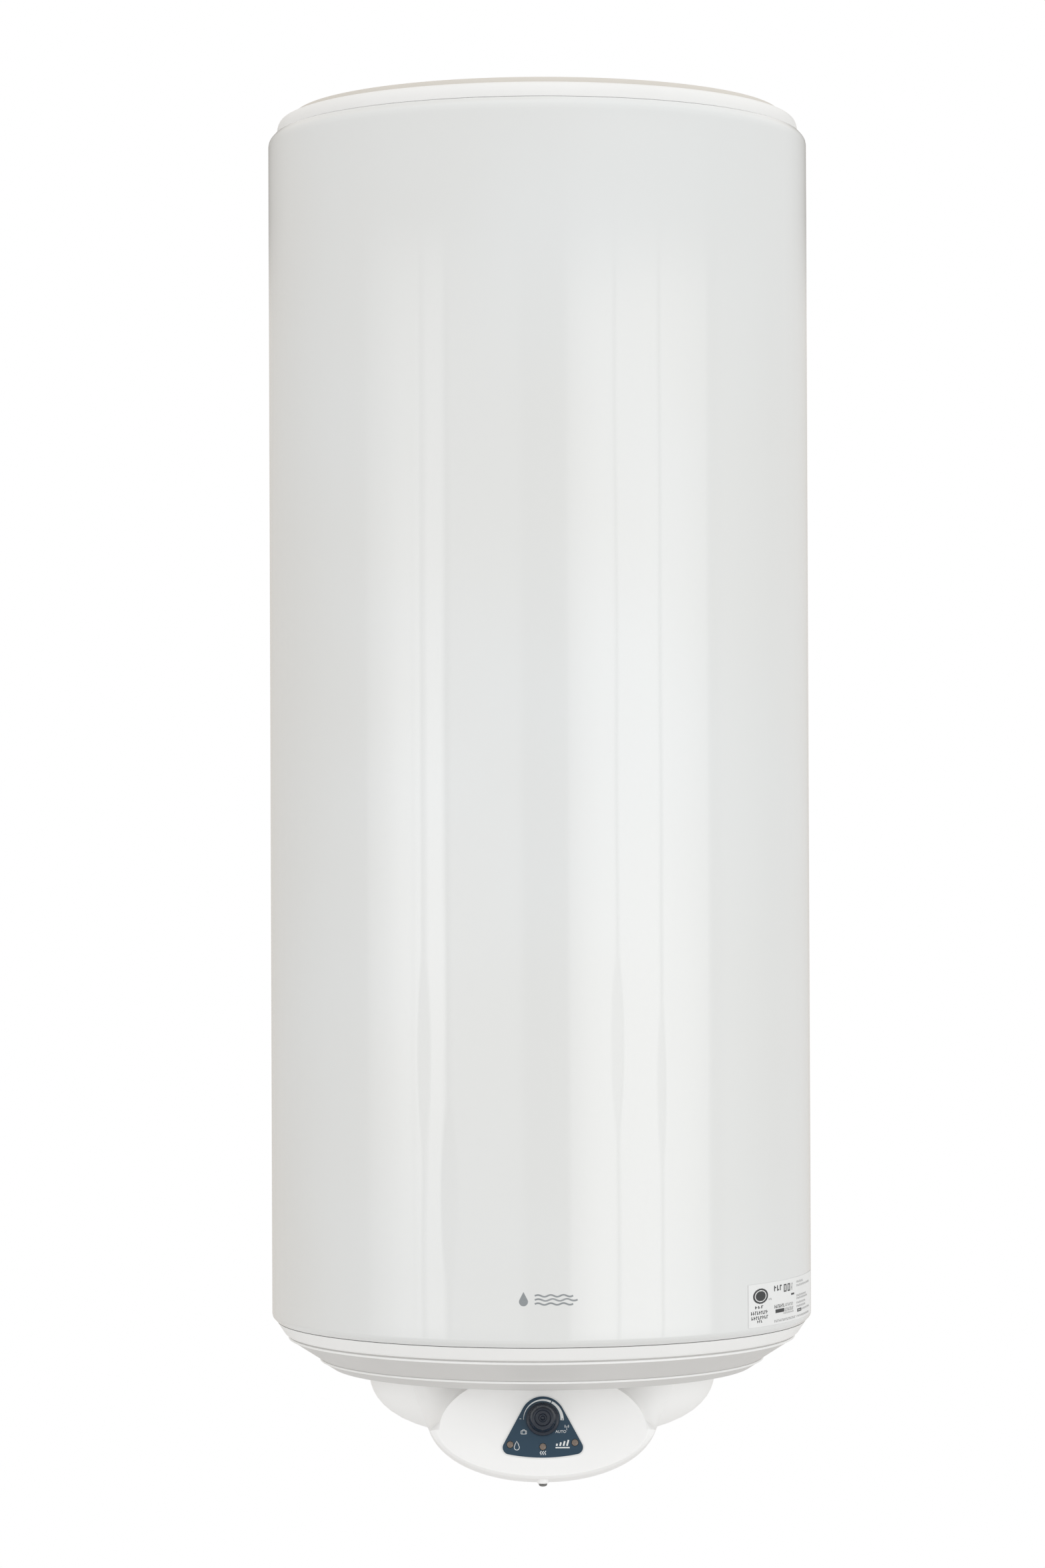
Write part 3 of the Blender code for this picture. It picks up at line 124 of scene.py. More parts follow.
class Shader:
    """A node material under construction: a Principled shader and the textures that feed it."""

    def __init__(self, name, roughness, metallic=0.0, **sockets):
        self.material = bpy.data.materials.new(name)
        self.material.use_nodes = True
        self.tree = self.material.node_tree
        self.principled = self.tree.nodes["Principled BSDF"]
        set_inputs(self.principled, Roughness=roughness, Metallic=metallic, **sockets)
        self.place = self.add("ShaderNodeTexCoord").outputs["Object"]
        self.height = None

    def add(self, kind, **settings):
        node = self.tree.nodes.new(kind)
        for setting, value in settings.items():
            setattr(node, setting, value)
        return node

    def link(self, output, socket):
        self.tree.links.new(output, socket)

    def texture(self, kind, stretch, output, **inputs):
        """A texture over the place, which is scaled differently along x, y and z."""
        mapping = set_inputs(self.add("ShaderNodeMapping"), Scale=stretch)
        self.link(self.place, mapping.inputs["Vector"])
        node = set_inputs(self.add(kind), **inputs)
        self.link(mapping.outputs["Vector"], node.inputs["Vector"])
        return node.outputs[output]

    def noise(self, scale, detail=2.0, stretch=(1.0, 1.0, 1.0)):
        return self.texture("ShaderNodeTexNoise", stretch, "Fac", Scale=scale, Detail=detail)

    def cells(self, scale, output="Distance"):
        return self.texture("ShaderNodeTexVoronoi", (1.0, 1.0, 1.0), output, Scale=scale)

    def ramp(self, value, *stops):
        return colour_ramp(self.tree, value, stops)

    def range(self, value, low, high, from_low=0.3, from_high=0.7, **settings):
        node = self.add("ShaderNodeMapRange", **settings)
        set_inputs(node, From_Min=from_low, From_Max=from_high, To_Min=low, To_Max=high)
        self.link(value, node.inputs["Value"])
        return node.outputs["Result"]

    def colour(self, output):
        self.link(output, self.principled.inputs["Base Color"])

    def tint(self, value, colour, spread):
        """The base colour, varied a little darker and lighter by a value."""
        darker = [channel * (1.0 - spread) for channel in colour]
        lighter = [min(channel * (1.0 + spread), 1.0) for channel in colour]
        self.colour(self.ramp(value, (0.3, darker), (0.7, lighter)))

    def rough(self, value, low, high, *limits):
        self.link(self.range(value, low, high, *limits), self.principled.inputs["Roughness"])

    def bump(self, value, distance, strength=1.0):
        """Adds relief; a second call adds finer relief on top of the first."""
        node = set_inputs(self.add("ShaderNodeBump"), Strength=strength, Distance=distance)
        self.link(value, node.inputs["Height"])
        if self.height is not None:
            self.link(self.height, node.inputs["Normal"])
        self.height = node.outputs["Normal"]
        self.link(self.height, self.principled.inputs["Normal"])


def surface(name, colour, roughness, tone, polish, relief=None, metallic=0.0, **sockets):
    """A surface whose tone, polish and relief each follow a noise, given last by its scale and detail.

    tone starts with the spread, polish with the lowest and highest roughness, relief with depth and strength.
    """
    shader = Shader(name, roughness, metallic, **sockets)
    spread, *drift = tone
    low, high, *wear = polish
    shader.tint(shader.noise(*drift), colour, spread)
    shader.rough(shader.noise(*wear), low, high)
    if relief:
        depth, strength, *grain = relief
        shader.bump(shader.noise(*grain), depth, strength)
    return shader.material


def enamel(name, colour):
    """Stoved gloss paint on sheet steel: a clear, sharp coat over a faintly clouded base with orange peel."""
    shader = Shader(name, 0.33, Coat_Weight=1.0, Coat_Roughness=0.03, Coat_IOR=1.8, Specular_IOR_Level=0.25)
    warm = [colour[0] * 0.990, colour[1] * 0.985, colour[2] * 0.975]
    cool = [colour[0] * 1.006, colour[1] * 1.010, colour[2] * 1.012]
    shader.colour(shader.ramp(shader.noise(3.2, 2.0), (0.35, warm), (0.65, cool)))
    shader.rough(shader.noise(24.0, 3.0, (1.0, 1.0, 0.1)), 0.29, 0.37)
    shader.bump(shader.noise(160.0, 2.0), 0.00003, 0.15)
    return shader.material


def moulded(name, colour, roughness, spread=0.015, grain=900.0, depth=0.00003, **sockets):
    """Moulded plastic: fine spark-eroded grain, with slow drifts of tone and polish."""
    polish = (roughness - 0.05, roughness + 0.06, 38.0, 3.0)
    return surface(name, colour, roughness, (spread, 9.0, 3.0), polish, (depth, 0.5, grain), **sockets)


def galvanised(name, colour):
    """Zinc-dipped sheet: large spangle crystals of differing tone and polish, with fine scratches."""
    shader = Shader(name, 0.42, 1.0)
    crystals = shader.add("ShaderNodeSeparateColor")
    shader.link(shader.cells(130.0, "Color"), crystals.inputs["Color"])
    dark = [channel * 0.72 for channel in colour]
    light = [min(channel * 1.22, 1.0) for channel in colour]
    shader.colour(shader.ramp(crystals.outputs["Red"], (0.0, dark), (1.0, light)))
    shader.rough(crystals.outputs["Green"], 0.30, 0.52, 0.0, 1.0)
    shader.bump(shader.noise(420.0, 3.0, (1.0, 1.0, 6.0)), 0.00004, 0.35)
    return shader.material


def machined(name, colour, roughness):
    """Turned or plated metal: fine lines round the piece and a slight tarnish."""
    polish = (roughness - 0.06, roughness + 0.12, 95.0, 4.0)
    lines = (0.00003, 0.4, 700.0, 2.0, (0.2, 0.2, 1.0))
    return surface(name, colour, roughness, (0.12, 95.0, 4.0), polish, lines, 1.0)


def foam(name, colour):
    """Poured polyurethane foam: open cells under an uneven skin."""
    shader = Shader(name, 0.92)
    cells = shader.cells(420.0)
    shader.tint(cells, colour, 0.20)
    shader.rough(cells, 0.85, 0.98)
    shader.bump(cells, 0.0010, 0.6)
    shader.bump(shader.noise(24.0, 3.0), 0.0015, 0.4)
    return shader.material


def circuit_board(name, colour):
    """Solder mask over copper tracks: a fine grid of slightly raised, lighter lanes."""
    shader = Shader(name, 0.38, Coat_Weight=0.3)
    brick = set_inputs(
        shader.add("ShaderNodeTexBrick"),
        Scale=260.0,
        Mortar_Size=0.06,
        Color1=(*colour, 1.0),
        Color2=(*[channel * 0.75 for channel in colour], 1.0),
        Mortar=(*[min(channel * 2.0, 1.0) for channel in colour], 1.0),
    )
    shader.link(shader.place, brick.inputs["Vector"])
    shader.colour(brick.outputs["Color"])
    shader.rough(shader.noise(200.0), 0.30, 0.46)
    shader.bump(brick.outputs["Fac"], 0.00004, 0.4)
    return shader.material


def printed(name, colour):
    """Screen-printed ink: slightly uneven cover."""
    return surface(name, colour, 0.45, (0.05, 1400.0, 2.0), (0.38, 0.52, 1400.0, 2.0))


def looks(maker, *rows):
    """Materials by name, from rows of a name and the rest of what their maker takes."""
    return {name: maker(name, *values) for name, *values in rows}


MATERIALS = {
    "jacket_enamel": enamel("jacket_enamel", (0.752, 0.762, 0.757)),
    "foam": foam("foam", (0.80, 0.62, 0.32)),
    "galvanised_steel": galvanised("galvanised_steel", (0.60, 0.61, 0.62)),
    "board_green": circuit_board("board_green", (0.02, 0.16, 0.06)),
    **looks(
        moulded,
        ("cover_plastic", (0.855, 0.852, 0.840), 0.36),
        ("base_plastic", (0.66, 0.652, 0.638), 0.42),
        ("capot_plastic", (0.95, 0.948, 0.94), 0.34),
        ("nylon", (0.70, 0.67, 0.58), 0.48, 0.04),
        ("housing_grey", (0.26, 0.27, 0.29), 0.50, 0.05),
        ("component_black", (0.022, 0.022, 0.026), 0.46, 0.12),
        ("battery_wrap", (0.06, 0.16, 0.38), 0.30, 0.08),
        ("knob_black", (0.012, 0.018, 0.031), 0.24, 0.15, 1300.0, 0.00001),
        ("signal_red", (0.50, 0.025, 0.018), 0.36, 0.06),
        ("signal_blue", (0.020, 0.085, 0.44), 0.36, 0.06),
        ("wire_grey", (0.22, 0.22, 0.23), 0.48, 0.06),
    ),
    **looks(
        machined,
        ("zinc_screw", (0.26, 0.257, 0.25), 0.36),
        ("anode_metal", (0.50, 0.50, 0.52), 0.48),
        ("stainless", (0.62, 0.62, 0.61), 0.24),
        ("brass", (0.68, 0.46, 0.17), 0.28),
    ),
    "label_slate": moulded(
        "label_slate", SLATE, 0.36, 0.05, 1500.0, 0.00002, Specular_IOR_Level=0.35,
    ),
    "tank_steel": surface(
        "tank_steel", (0.05, 0.10, 0.19), 0.34, (0.18, 14.0, 4.0), (0.28, 0.42, 30.0, 3.0),
        (0.00012, 0.5, 260.0), Coat_Weight=0.2,
    ),
    "gasket_rubber": surface(
        "gasket_rubber", (0.028, 0.028, 0.030), 0.70, (0.22, 60.0, 3.0), (0.60, 0.80, 45.0, 3.0),
        (0.00003, 0.5, 1100.0), Specular_IOR_Level=0.35,
    ),
    "steatite": surface(
        "steatite", (0.78, 0.72, 0.60), 0.58, (0.08, 320.0, 4.0), (0.50, 0.70, 320.0, 4.0),
        (0.00008, 0.5, 320.0, 4.0),
    ),
    "lens_smoke": surface(
        "lens_smoke", (0.175, 0.130, 0.100), 0.26, (0.22, 900.0, 3.0), (0.20, 0.34, 500.0),
        Coat_Weight=0.5, Coat_Roughness=0.1,
    ),
    "sticker_white": surface(
        "sticker_white", (0.82, 0.825, 0.82), 0.38, (0.02, 30.0, 3.0), (0.32, 0.46, 70.0, 3.0),
        (0.00006, 0.3, 110.0), Coat_Weight=0.25, Coat_Roughness=0.2,
    ),
}
# Copies of the cover plastic with light and shade painted in: whiter for a painted highlight on the beads and
# collar, darker and warmer for painted shade on the lid's ring.
PAINTED_LIGHT_AND_SHADE = looks(moulded, ("lid_rim", (0.67, 0.635, 0.58), 0.38), ("bead_white", (0.90, 0.90, 0.89), 0.34))
INKS = looks(
    printed,
    ("white_ink", (0.80, 0.82, 0.82)),
    ("slate_ink", SLATE),
    ("grey_ink", (0.27, 0.29, 0.30)),
    ("print_grey", (0.34, 0.34, 0.34)),
    ("black_ink", (0.030, 0.032, 0.034)),
)

# ---- Mesh tools ----

COVER_TURNS = 224


def mesh_of(bm, name="mesh"):
    bmesh.ops.recalc_face_normals(bm, faces=bm.faces)
    mesh = bpy.data.meshes.new(name)
    bm.to_mesh(mesh)
    bm.free()
    return mesh


def loft(rings, closed=False):
    """A skin through rings of equal point counts.

    An open one gets flat ends, and a ring of one point is a tip.
    """
    bm = bmesh.new()
    loops = [[bm.verts.new(point) for point in ring] for ring in rings]
    pairs = list(zip(loops, loops[1:]))
    if closed:
        pairs.append((loops[-1], loops[0]))
    for first, second in pairs:
        count = max(len(first), len(second))
        for i in range(count):
            j = (i + 1) % count
            corners = [first[i % len(first)], first[j % len(first)]]
            corners += [second[j % len(second)], second[i % len(second)]]
            bm.faces.new(list(dict.fromkeys(corners)))
    if not closed:
        for ring in (loops[0], loops[-1]):
            if len(ring) > 2:
                bm.faces.new(ring)
    return mesh_of(bm)


def even_turns(count, start=0.0):
    return [start + 2 * pi * i / count for i in range(count)]


def lathe(profile, turns=96, shape=None):
    """A turned mesh: (radius, height) points down the outer side, then back up the inner side.

    turns is a count or a list of angles. shape(radius, turn, height) may change the radius.
    """
    turns = even_turns(turns) if isinstance(turns, int) else turns
    rings = []
    for radius, height in profile:
        if radius == 0.0:
            rings.append([(0.0, 0.0, height)])
            continue
        ring = []
        for turn in turns:
            reach = shape(radius, turn, height) if shape else radius
            ring.append((reach * cos(turn), reach * sin(turn), height))
        rings.append(ring)
    return loft(rings, closed=profile[0][0] > 0.0)


def filleted(corners, steps=4):
    """A path through (x, y) or (x, y, reach) corners. A reach rounds its corner that far each way."""
    path = []
    for index, corner in enumerate(corners):
        point = Vector(corner[:2])
        if len(corner) == 2:
            path.append(tuple(point))
            continue
        before = Vector(corners[index - 1][:2]) - point
        after = Vector(corners[(index + 1) % len(corners)][:2]) - point
        start = point + before.normalized() * min(corner[2], before.length * 0.49)
        end = point + after.normalized() * min(corner[2], after.length * 0.49)
        for i in range(steps + 1):
            t = i / steps
            path.append(tuple((1 - t) ** 2 * start + 2 * t * (1 - t) * point + t**2 * end))
    return path


def turned(corners, base=0.0, turns=COVER_TURNS, steps=4, place=(0.0, 0.0), shape=None):
    """A turned mesh from filleted corners in mm, with heights counted from base, moved to a place in plan."""
    profile = [(x * MM, base + y * MM, *[reach * MM for reach in more]) for x, y, *more in corners]
    return moved(lathe(filleted(profile, steps), turns, shape), *place, 0.0)


def box_mesh(size, centre, turn=0.0):
    bm = bmesh.new()
    place = Matrix.Translation(centre) @ Matrix.Rotation(turn, 4, "Z") @ Matrix.Diagonal((*size, 1.0))
    bmesh.ops.create_cube(bm, size=1.0, matrix=place)
    return mesh_of(bm)


def circle(radius, centre=(0.0, 0.0), count=48):
    return [(centre[0] + radius * cos(turn), centre[1] + radius * sin(turn)) for turn in even_turns(count)]


def in_mm(points):
    return [(x * MM, y * MM) for x, y in points]


def plate(outline, low, high, holes=()):
    """A flat plate from an outline with holes, as a filled 2D curve."""
    curve = bpy.data.curves.new("plate", "CURVE")
    curve.dimensions = "2D"
    curve.fill_mode = "BOTH"
    curve.extrude = (high - low) / 2
    for loop in (outline, *holes):
        spline = curve.splines.new("POLY")
        spline.points.add(len(loop) - 1)
        for point, (x, y) in zip(spline.points, loop):
            point.co = (x, y, 0.0, 1.0)
        spline.use_cyclic_u = True
    return curve_mesh(curve, (low + high) / 2)


def curve_mesh(curve, lift=0.0):
    """The welded mesh of a curve, moved up by lift."""
    holder = temporary(curve)
    bpy.context.view_layer.update()
    mesh = evaluated_mesh(holder)
    bpy.data.objects.remove(holder)
    bpy.data.curves.remove(curve)
    bm = bmesh.new()
    bm.from_mesh(mesh)
    bpy.data.meshes.remove(mesh)
    bmesh.ops.remove_doubles(bm, verts=bm.verts, dist=0.000001)
    bmesh.ops.translate(bm, verts=bm.verts, vec=(0.0, 0.0, lift))
    return mesh_of(bm)


def temporary(data):
    obj = bpy.data.objects.new("temporary", data)
    bpy.context.scene.collection.objects.link(obj)
    return obj


def evaluated_mesh(obj):
    graph = bpy.context.evaluated_depsgraph_get()
    return bpy.data.meshes.new_from_object(obj.evaluated_get(graph))


def combined(mesh, other, operation="DIFFERENCE"):
    """The mesh after a Boolean with another one. Both are used up."""
    base = temporary(mesh)
    tool = temporary(other)
    modifier = base.modifiers.new("boolean", "BOOLEAN")
    modifier.operation = operation
    modifier.object = tool
    modifier.solver = "EXACT"
    result = evaluated_mesh(base)
    for obj in (base, tool):
        bpy.data.objects.remove(obj)
    for used in (mesh, other):
        bpy.data.meshes.remove(used)
    return result


def joined(meshes):
    """Several meshes as one, without joining their surfaces."""
    bm = bmesh.new()
    for mesh in meshes:
        bm.from_mesh(mesh)
        bpy.data.meshes.remove(mesh)
    result = bpy.data.meshes.new("joined")
    bm.to_mesh(result)
    bm.free()
    return result


def moved(mesh, *offset):
    mesh.transform(Matrix.Translation(offset))
    return mesh


def ribbon(points, width, low, high, closed=False):
    """A flat stroke of even width along points, as a thin solid."""
    count = len(points)
    left, right = [], []
    for i, point in enumerate(points):
        before = points[(i - 1) % count] if closed or i > 0 else point
        after = points[(i + 1) % count] if closed or i < count - 1 else point
        along = (Vector(after) - Vector(before)).normalized()
        side = Vector((-along.y, along.x)) * width / 2
        left.append((point[0] + side.x, point[1] + side.y))
        right.append((point[0] - side.x, point[1] - side.y))
    if closed:
        return plate(left, low, high, [right])
    return plate(left + right[::-1], low, high)


def arc(radius, start, end, count, centre=(0.0, 0.0)):
    """Points along an arc, from start to end in degrees."""
    turns = [radians(start + (end - start) * i / count) for i in range(count + 1)]
    return [(centre[0] + radius * cos(turn), centre[1] + radius * sin(turn)) for turn in turns]


def add_piece(name, mesh, slot, place=TANK, body=HEATER, stands_for=(), material=None, sharp=32.0):
    """Finishes a mesh as a piece: place, material, shading, its body and the nodes it stands for."""
    mesh.name = name
    mesh.transform(place)
    mesh.materials.clear()
    mesh.materials.append(material or MATERIALS[slot])
    mesh.shade_smooth()
    mesh.set_sharp_from_angle(angle=radians(sharp))
    obj = bpy.data.objects.new(name, mesh)
    bpy.context.scene.collection.objects.link(obj)
    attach(obj, body)
    if stands_for:
        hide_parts(*stands_for)
    return obj


def even_shading(obj):
    """Keeps large flat faces flat beside small curved ones."""
    modifier = obj.modifiers.new("weighted_normals", "WEIGHTED_NORMAL")
    modifier.keep_sharp = True


# ---- Jacket ----

JACKET_WALL = 1.2 * MM
LIP_INNER_RADIUS = 240.5 * MM
TOP_RING_RADIUS = 246.0 * MM
BOTTOM_RING_RADIUS = 247.7 * MM
ROLL_HEIGHT = 7.0 * MM
FOOT_HEIGHT = 4.8 * MM
SEAM_HALF_WIDTH = 7.0 * MM
SEAM_PROUD = 0.8 * MM
SHEET_SETBACK = 0.2 * MM
BACK = pi / 2
FRONT = -pi / 2
FRONT_HALF_ANGLE = radians(62)
FRONT_TURNS = 248
REAR_TURNS = 148
DENT_BAND = (0.055, 0.365)
DENT_STEP = 6.0 * MM
PLAIN_STEP = 18.0 * MM
DIP_START = radians(52)
DIP_END = radians(80)
MEAN_DIP = 0.30 * MM
WAVE_DEPTH = 0.14 * MM
RIPPLE_DEPTH = 0.04 * MM

# Long flat spots low on the front, where the thin sheet has pulled straight: azimuth from the front,
# lowest and highest point, and greatest half width.
FLAT_SPOTS = (
    (radians(-24.5), 0.176, 0.345, 7.6 * MM),
    (radians(-19.0), 0.050, 0.215, 9.0 * MM),
    (radians(15.4), 0.190, 0.348, 7.6 * MM),
    (radians(25.0), 0.160, 0.300, 5.8 * MM),
)


def smooth_step(value, low, high):
    share = min(max((value - low) / (high - low), 0.0), 1.0)
    return share * share * (3 - 2 * share)


def azimuth(turn):
    """The angle round the tank from the front, positive to the right."""
    return (turn - FRONT + pi) % (2 * pi) - pi


def flat_spots(turn, height):
    """The depth of any flat spot here, and how far the sheet's soft waves die out near it."""
    depth = 0.0
    calm = 0.0
    for middle, low, high, half_width in FLAT_SPOTS:
        off = abs(azimuth(turn) - middle) * JACKET_RADIUS
        share = (height - low) / (high - low)
        beside = 1.0 - smooth_step(off, 1.2 * half_width, 3.0 * half_width)
        along = 1.0 - smooth_step(abs(share - 0.5), 0.5, 0.9)
        calm = max(calm, beside * along)
        if 0.0 < share < 1.0:
            reach = half_width * sin(pi * share) ** 0.5
            depth += max(reach**2 - off**2, 0.0) / (2 * JACKET_RADIUS)
    return depth, calm


def sheet_dip(turn, height):
    """How far the thin sheet dips inwards at the front, in long soft waves and a few flat spots."""
    off_front = abs(azimuth(turn))
    if off_front > DIP_END:
        return 0.0
    front = 1.0 - smooth_step(off_front, DIP_START, DIP_END)
    bottom_edge = smooth_step(height, 0.010, 0.050)
    top_edge = 1.0 - smooth_step(height, JACKET_HEIGHT - 0.05, JACKET_HEIGHT - 0.01)
    x, y = cos(turn), sin(turn)
    wave = noise.noise(Vector((3.1 * x, 3.1 * y, 2.4 * height + 4.0)))
    ripple = noise.noise(Vector((9.0 * x + 7.0, 9.0 * y, 5.5 * height)))
    depth, calm = flat_spots(turn, height)
    waves = (WAVE_DEPTH * wave + RIPPLE_DEPTH * ripple) * (1.0 - calm)
    return front * min(bottom_edge, top_edge) * (MEAN_DIP + waves + depth)


def jacket_radius(radius, turn, height):
    """The rolled sheet: waves on the side wall and a raised folded seam down the back."""
    if radius < JACKET_RADIUS - 0.5 * MM:
        return radius
    seam = SEAM_PROUD if abs(turn - BACK) * radius < SEAM_HALF_WIDTH + 0.1 * MM else 0.0
    return radius - sheet_dip(turn, height) - SHEET_SETBACK + seam


def jacket_turns():
    """Angles close together on the front, wider at the back, and paired at the two steps of the back seam."""
    half = SEAM_HALF_WIDTH / JACKET_RADIUS
    step = 1.0 * MM / JACKET_RADIUS
    left, right = FRONT - FRONT_HALF_ANGLE, FRONT + FRONT_HALF_ANGLE
    front = [left + (right - left) * i / FRONT_TURNS for i in range(FRONT_TURNS)]
    rear = [right + (left + 2 * pi - right) * i / REAR_TURNS for i in range(REAR_TURNS)]
    plain = [turn for turn in front + rear if abs(turn - BACK) > half + 2 * step]
    return sorted(plain + [BACK - half - step, BACK - half, BACK + half, BACK + half + step])


def jacket_levels(low, high):
    """Heights from high down to low, close together where the sheet has its flat spots."""
    levels = [high]
    while levels[-1] > low:
        level = levels[-1]
        dented = DENT_BAND[0] < level < DENT_BAND[1]
        levels.append(level - (DENT_STEP if dented else PLAIN_STEP))
    levels[-1] = low
    return levels


def bracket_slit_boxes():
    """The casing's slits for the two flanges of each wall bracket, read from the brackets' places."""
    slit = (274 * MM, 180 * MM, 4.5 * MM)
    half_flange = 1.5 * MM
    boxes = []
    for node in ("upper_bracket", "lower_bracket"):
        low, high = tank_box(node)
        for level in (low.z + half_flange, high.z - half_flange):
            boxes.append(box_mesh(slit, (0.0, 210 * MM, level)))
    return joined(boxes)


def make_jacket():
    top = JACKET_HEIGHT
    wall = JACKET_WALL
    side_low = 16.0 * MM
    side_high = top - side_low
    inner = JACKET_RADIUS - wall - 1.0 * MM
    roll = [
        (LIP_INNER_RADIUS, top),
        (TOP_RING_RADIUS, top, 1.6 * MM),
        (JACKET_RADIUS, top - ROLL_HEIGHT, 5.0 * MM),
        (JACKET_RADIUS, side_high),
    ]
    foot = [
        (JACKET_RADIUS, side_low),
        (JACKET_RADIUS, FOOT_HEIGHT, 2.6 * MM),
        (BOTTOM_RING_RADIUS, 0.0, 0.7 * MM),
        (LIP_INNER_RADIUS, 0.0),
    ]
    inside = [
        (LIP_INNER_RADIUS, wall),
        (BOTTOM_RING_RADIUS - 0.6 * MM, wall),
        (inner, ROLL_HEIGHT + 1.0 * MM),
        (inner, top - ROLL_HEIGHT - 1.0 * MM),
        (TOP_RING_RADIUS - 0.6 * MM, top - wall),
        (LIP_INNER_RADIUS, top - wall),
    ]
    sides = [(JACKET_RADIUS, level) for level in jacket_levels(side_low, side_high)[1:-1]]
    profile = [*filleted(roll, 6), *sides, *filleted(foot, 6), *inside]
    mesh = combined(lathe(profile, jacket_turns(), jacket_radius), bracket_slit_boxes())
    add_piece("jacket_sheet", mesh, "jacket_enamel", stands_for=["jacket"], sharp=40.0)


# ---- Top and bottom covers ----

# The beads of the lower cover, made whiter than the cover as a painted highlight, in mm: radius, upper edge and
# lower edge.
UPPER_BEAD = (237.2, -14.2, -16.2)
LOWER_BEAD = (207.8, -34.9, -36.7)
PIPES = {"hot_outlet_pipe": "hot_outlet_stub", "cold_inlet_pipe": "cold_inlet_stub"}


def make_top_cover():
    """The moulded lid: shoulder, groove and raised ring, then a shallow dished panel with ribs."""
    low, high = (corner.z for corner in tank_box("top_cover"))
    foot = (low - high) / MM
    skin = 0.15
    panel = [(0, -3.4), (20, -3.4), (22, -2.6, 0.8), (60, -2.6), (62, -1.8, 0.8), (66, -1.8, 0.8), (68, -2.6)]
    panel += [(148, -2.6), (150, -1.8, 0.8), (154, -1.8, 0.8), (156, -2.6), (219.5, -2.6, 1.0)]
    ring = [(222.8, -skin, 1.3), (228.2, -skin, 1.6), (230.2, -5.6, 0.7)]
    shoulder = [(236, -5.4, 2.2), (241.6, -7.6, 3.2), (244, -13.5, 3.0), (244, foot), (241, foot)]
    inside = [(241, -14, 2.0), (234.5, -8.2, 2.0), (218, -5.8), (0, -5.8)]
    lid = turned([*panel, *ring, *shoulder, *inside], high)
    add_piece("top_lid", lid, "cover_plastic", stands_for=["top_cover"])
    # A skin over the raised ring's top, darker and warmer than the lid: painted shade with a warm painted
    # reflection.
    rim = [(221.6, -1), (222.8, 0, 1.3), (228.3, 0, 1.6), (230.2 + skin, -5.2, 0.5)]
    rim += [(229.8, -5.2), (227, -1.2)]
    add_piece("lid_rim", turned(rim, high), "cover_plastic", material=PAINTED_LIGHT_AND_SHADE["lid_rim"])


def make_lid_ribs():
    """Low stiffening ribs on the lid's panel, from the middle ring out to the edge ring."""
    level = tank_box("top_cover")[1].z - 2.7 * MM
    inner, outer, half = 157.5 * MM, 216.5 * MM, 1.2 * MM
    reach = 0.8 * MM
    corners = [(inner, -half, reach), (outer, -half, reach), (outer, half, reach), (inner, half, reach)]
    ribs = []
    for turn in even_turns(12, pi / 12):
        mesh = plate(filleted(corners), level, level + 0.8 * MM)
        mesh.transform(Matrix.Rotation(turn, 4, "Z"))
        ribs.append(mesh)
    add_piece("lid_ribs", joined(ribs), "cover_plastic")


def make_bottom_cover():
    """The stepped lower cover: collar, groove, two cones and a flat floor."""
    floor, top = (corner.z / MM for corner in tank_box("bottom_cover"))
    inside = floor + 2.7
    hatch = 82.0
    outer = [
        (247.4, top, 0.2), (240.4, -11.2, 1.5), (238.6, -12.2, 0.5), (236.4, -13.6, 0.4),
        (236.4, UPPER_BEAD[1], 0.4), (UPPER_BEAD[0] - 1, UPPER_BEAD[2], 0.3),
        (207, LOWER_BEAD[1], 0.4), (207, LOWER_BEAD[2], 0.3), (195.6, floor, 1.6), (176, floor, 0.6),
        (175, floor + 0.8, 0.5), (171, floor + 0.8, 0.5), (170, floor, 0.6), (hatch, floor), (hatch, inside),
        (192.5, inside), (233, -13), (243, top),
    ]
    bore = [(0, -35), (14.7, -35), (14.7, -50), (0, -50)]
    bores = [turned(bore, turns=64, place=plan_middle(node)) for node in PIPES]
    mesh = combined(turned(outer), joined(bores))
    even_shading(add_piece("lower_cover", mesh, "base_plastic", stands_for=["bottom_cover"]))


def make_bead(name, radius, high, low):
    """A thin ring standing round an edge of the lower cover, whiter than the cover: a painted highlight along the
    edge.
    """
    corners = [(radius - 1.2, high), (radius, high, 0.25), (radius, low, 0.25), (radius - 1.2, low - 0.2)]
    add_piece(name, turned(corners, steps=3), "cover_plastic", material=PAINTED_LIGHT_AND_SHADE["bead_white"])


def make_collar_painted_light():
    """A thin skin over the lower cover's collar, paler than the cover: painted light on the collar."""
    top = tank_box("bottom_cover")[1].z / MM
    skin = 0.12
    outer = [(247.5, top), (247.5 + skin, top - 0.1), (240.6 + skin, -11, 1.4), (238.8 + skin, -12.4)]
    mesh = turned([*outer, (238.8, -12.4), (240.4, -11)])
    add_piece("collar_painted_light_skin", mesh, "cover_plastic", material=PAINTED_LIGHT_AND_SHADE["bead_white"])


# ---- Service cover ----

COVER_WALL = 2.5 * MM
COVER_TOP = -44.4 * MM
BOWL_RIM = COVER_TOP - 1.6 * MM
BOWL_HALF_WIDTH = 161.0 * MM
BOWL_HALF_DEPTH = 107.0 * MM
BOWL_CENTRE_Y = -21.0 * MM
BOWL_DEPTH = 60.0 * MM
BOWL_POINTS = 128

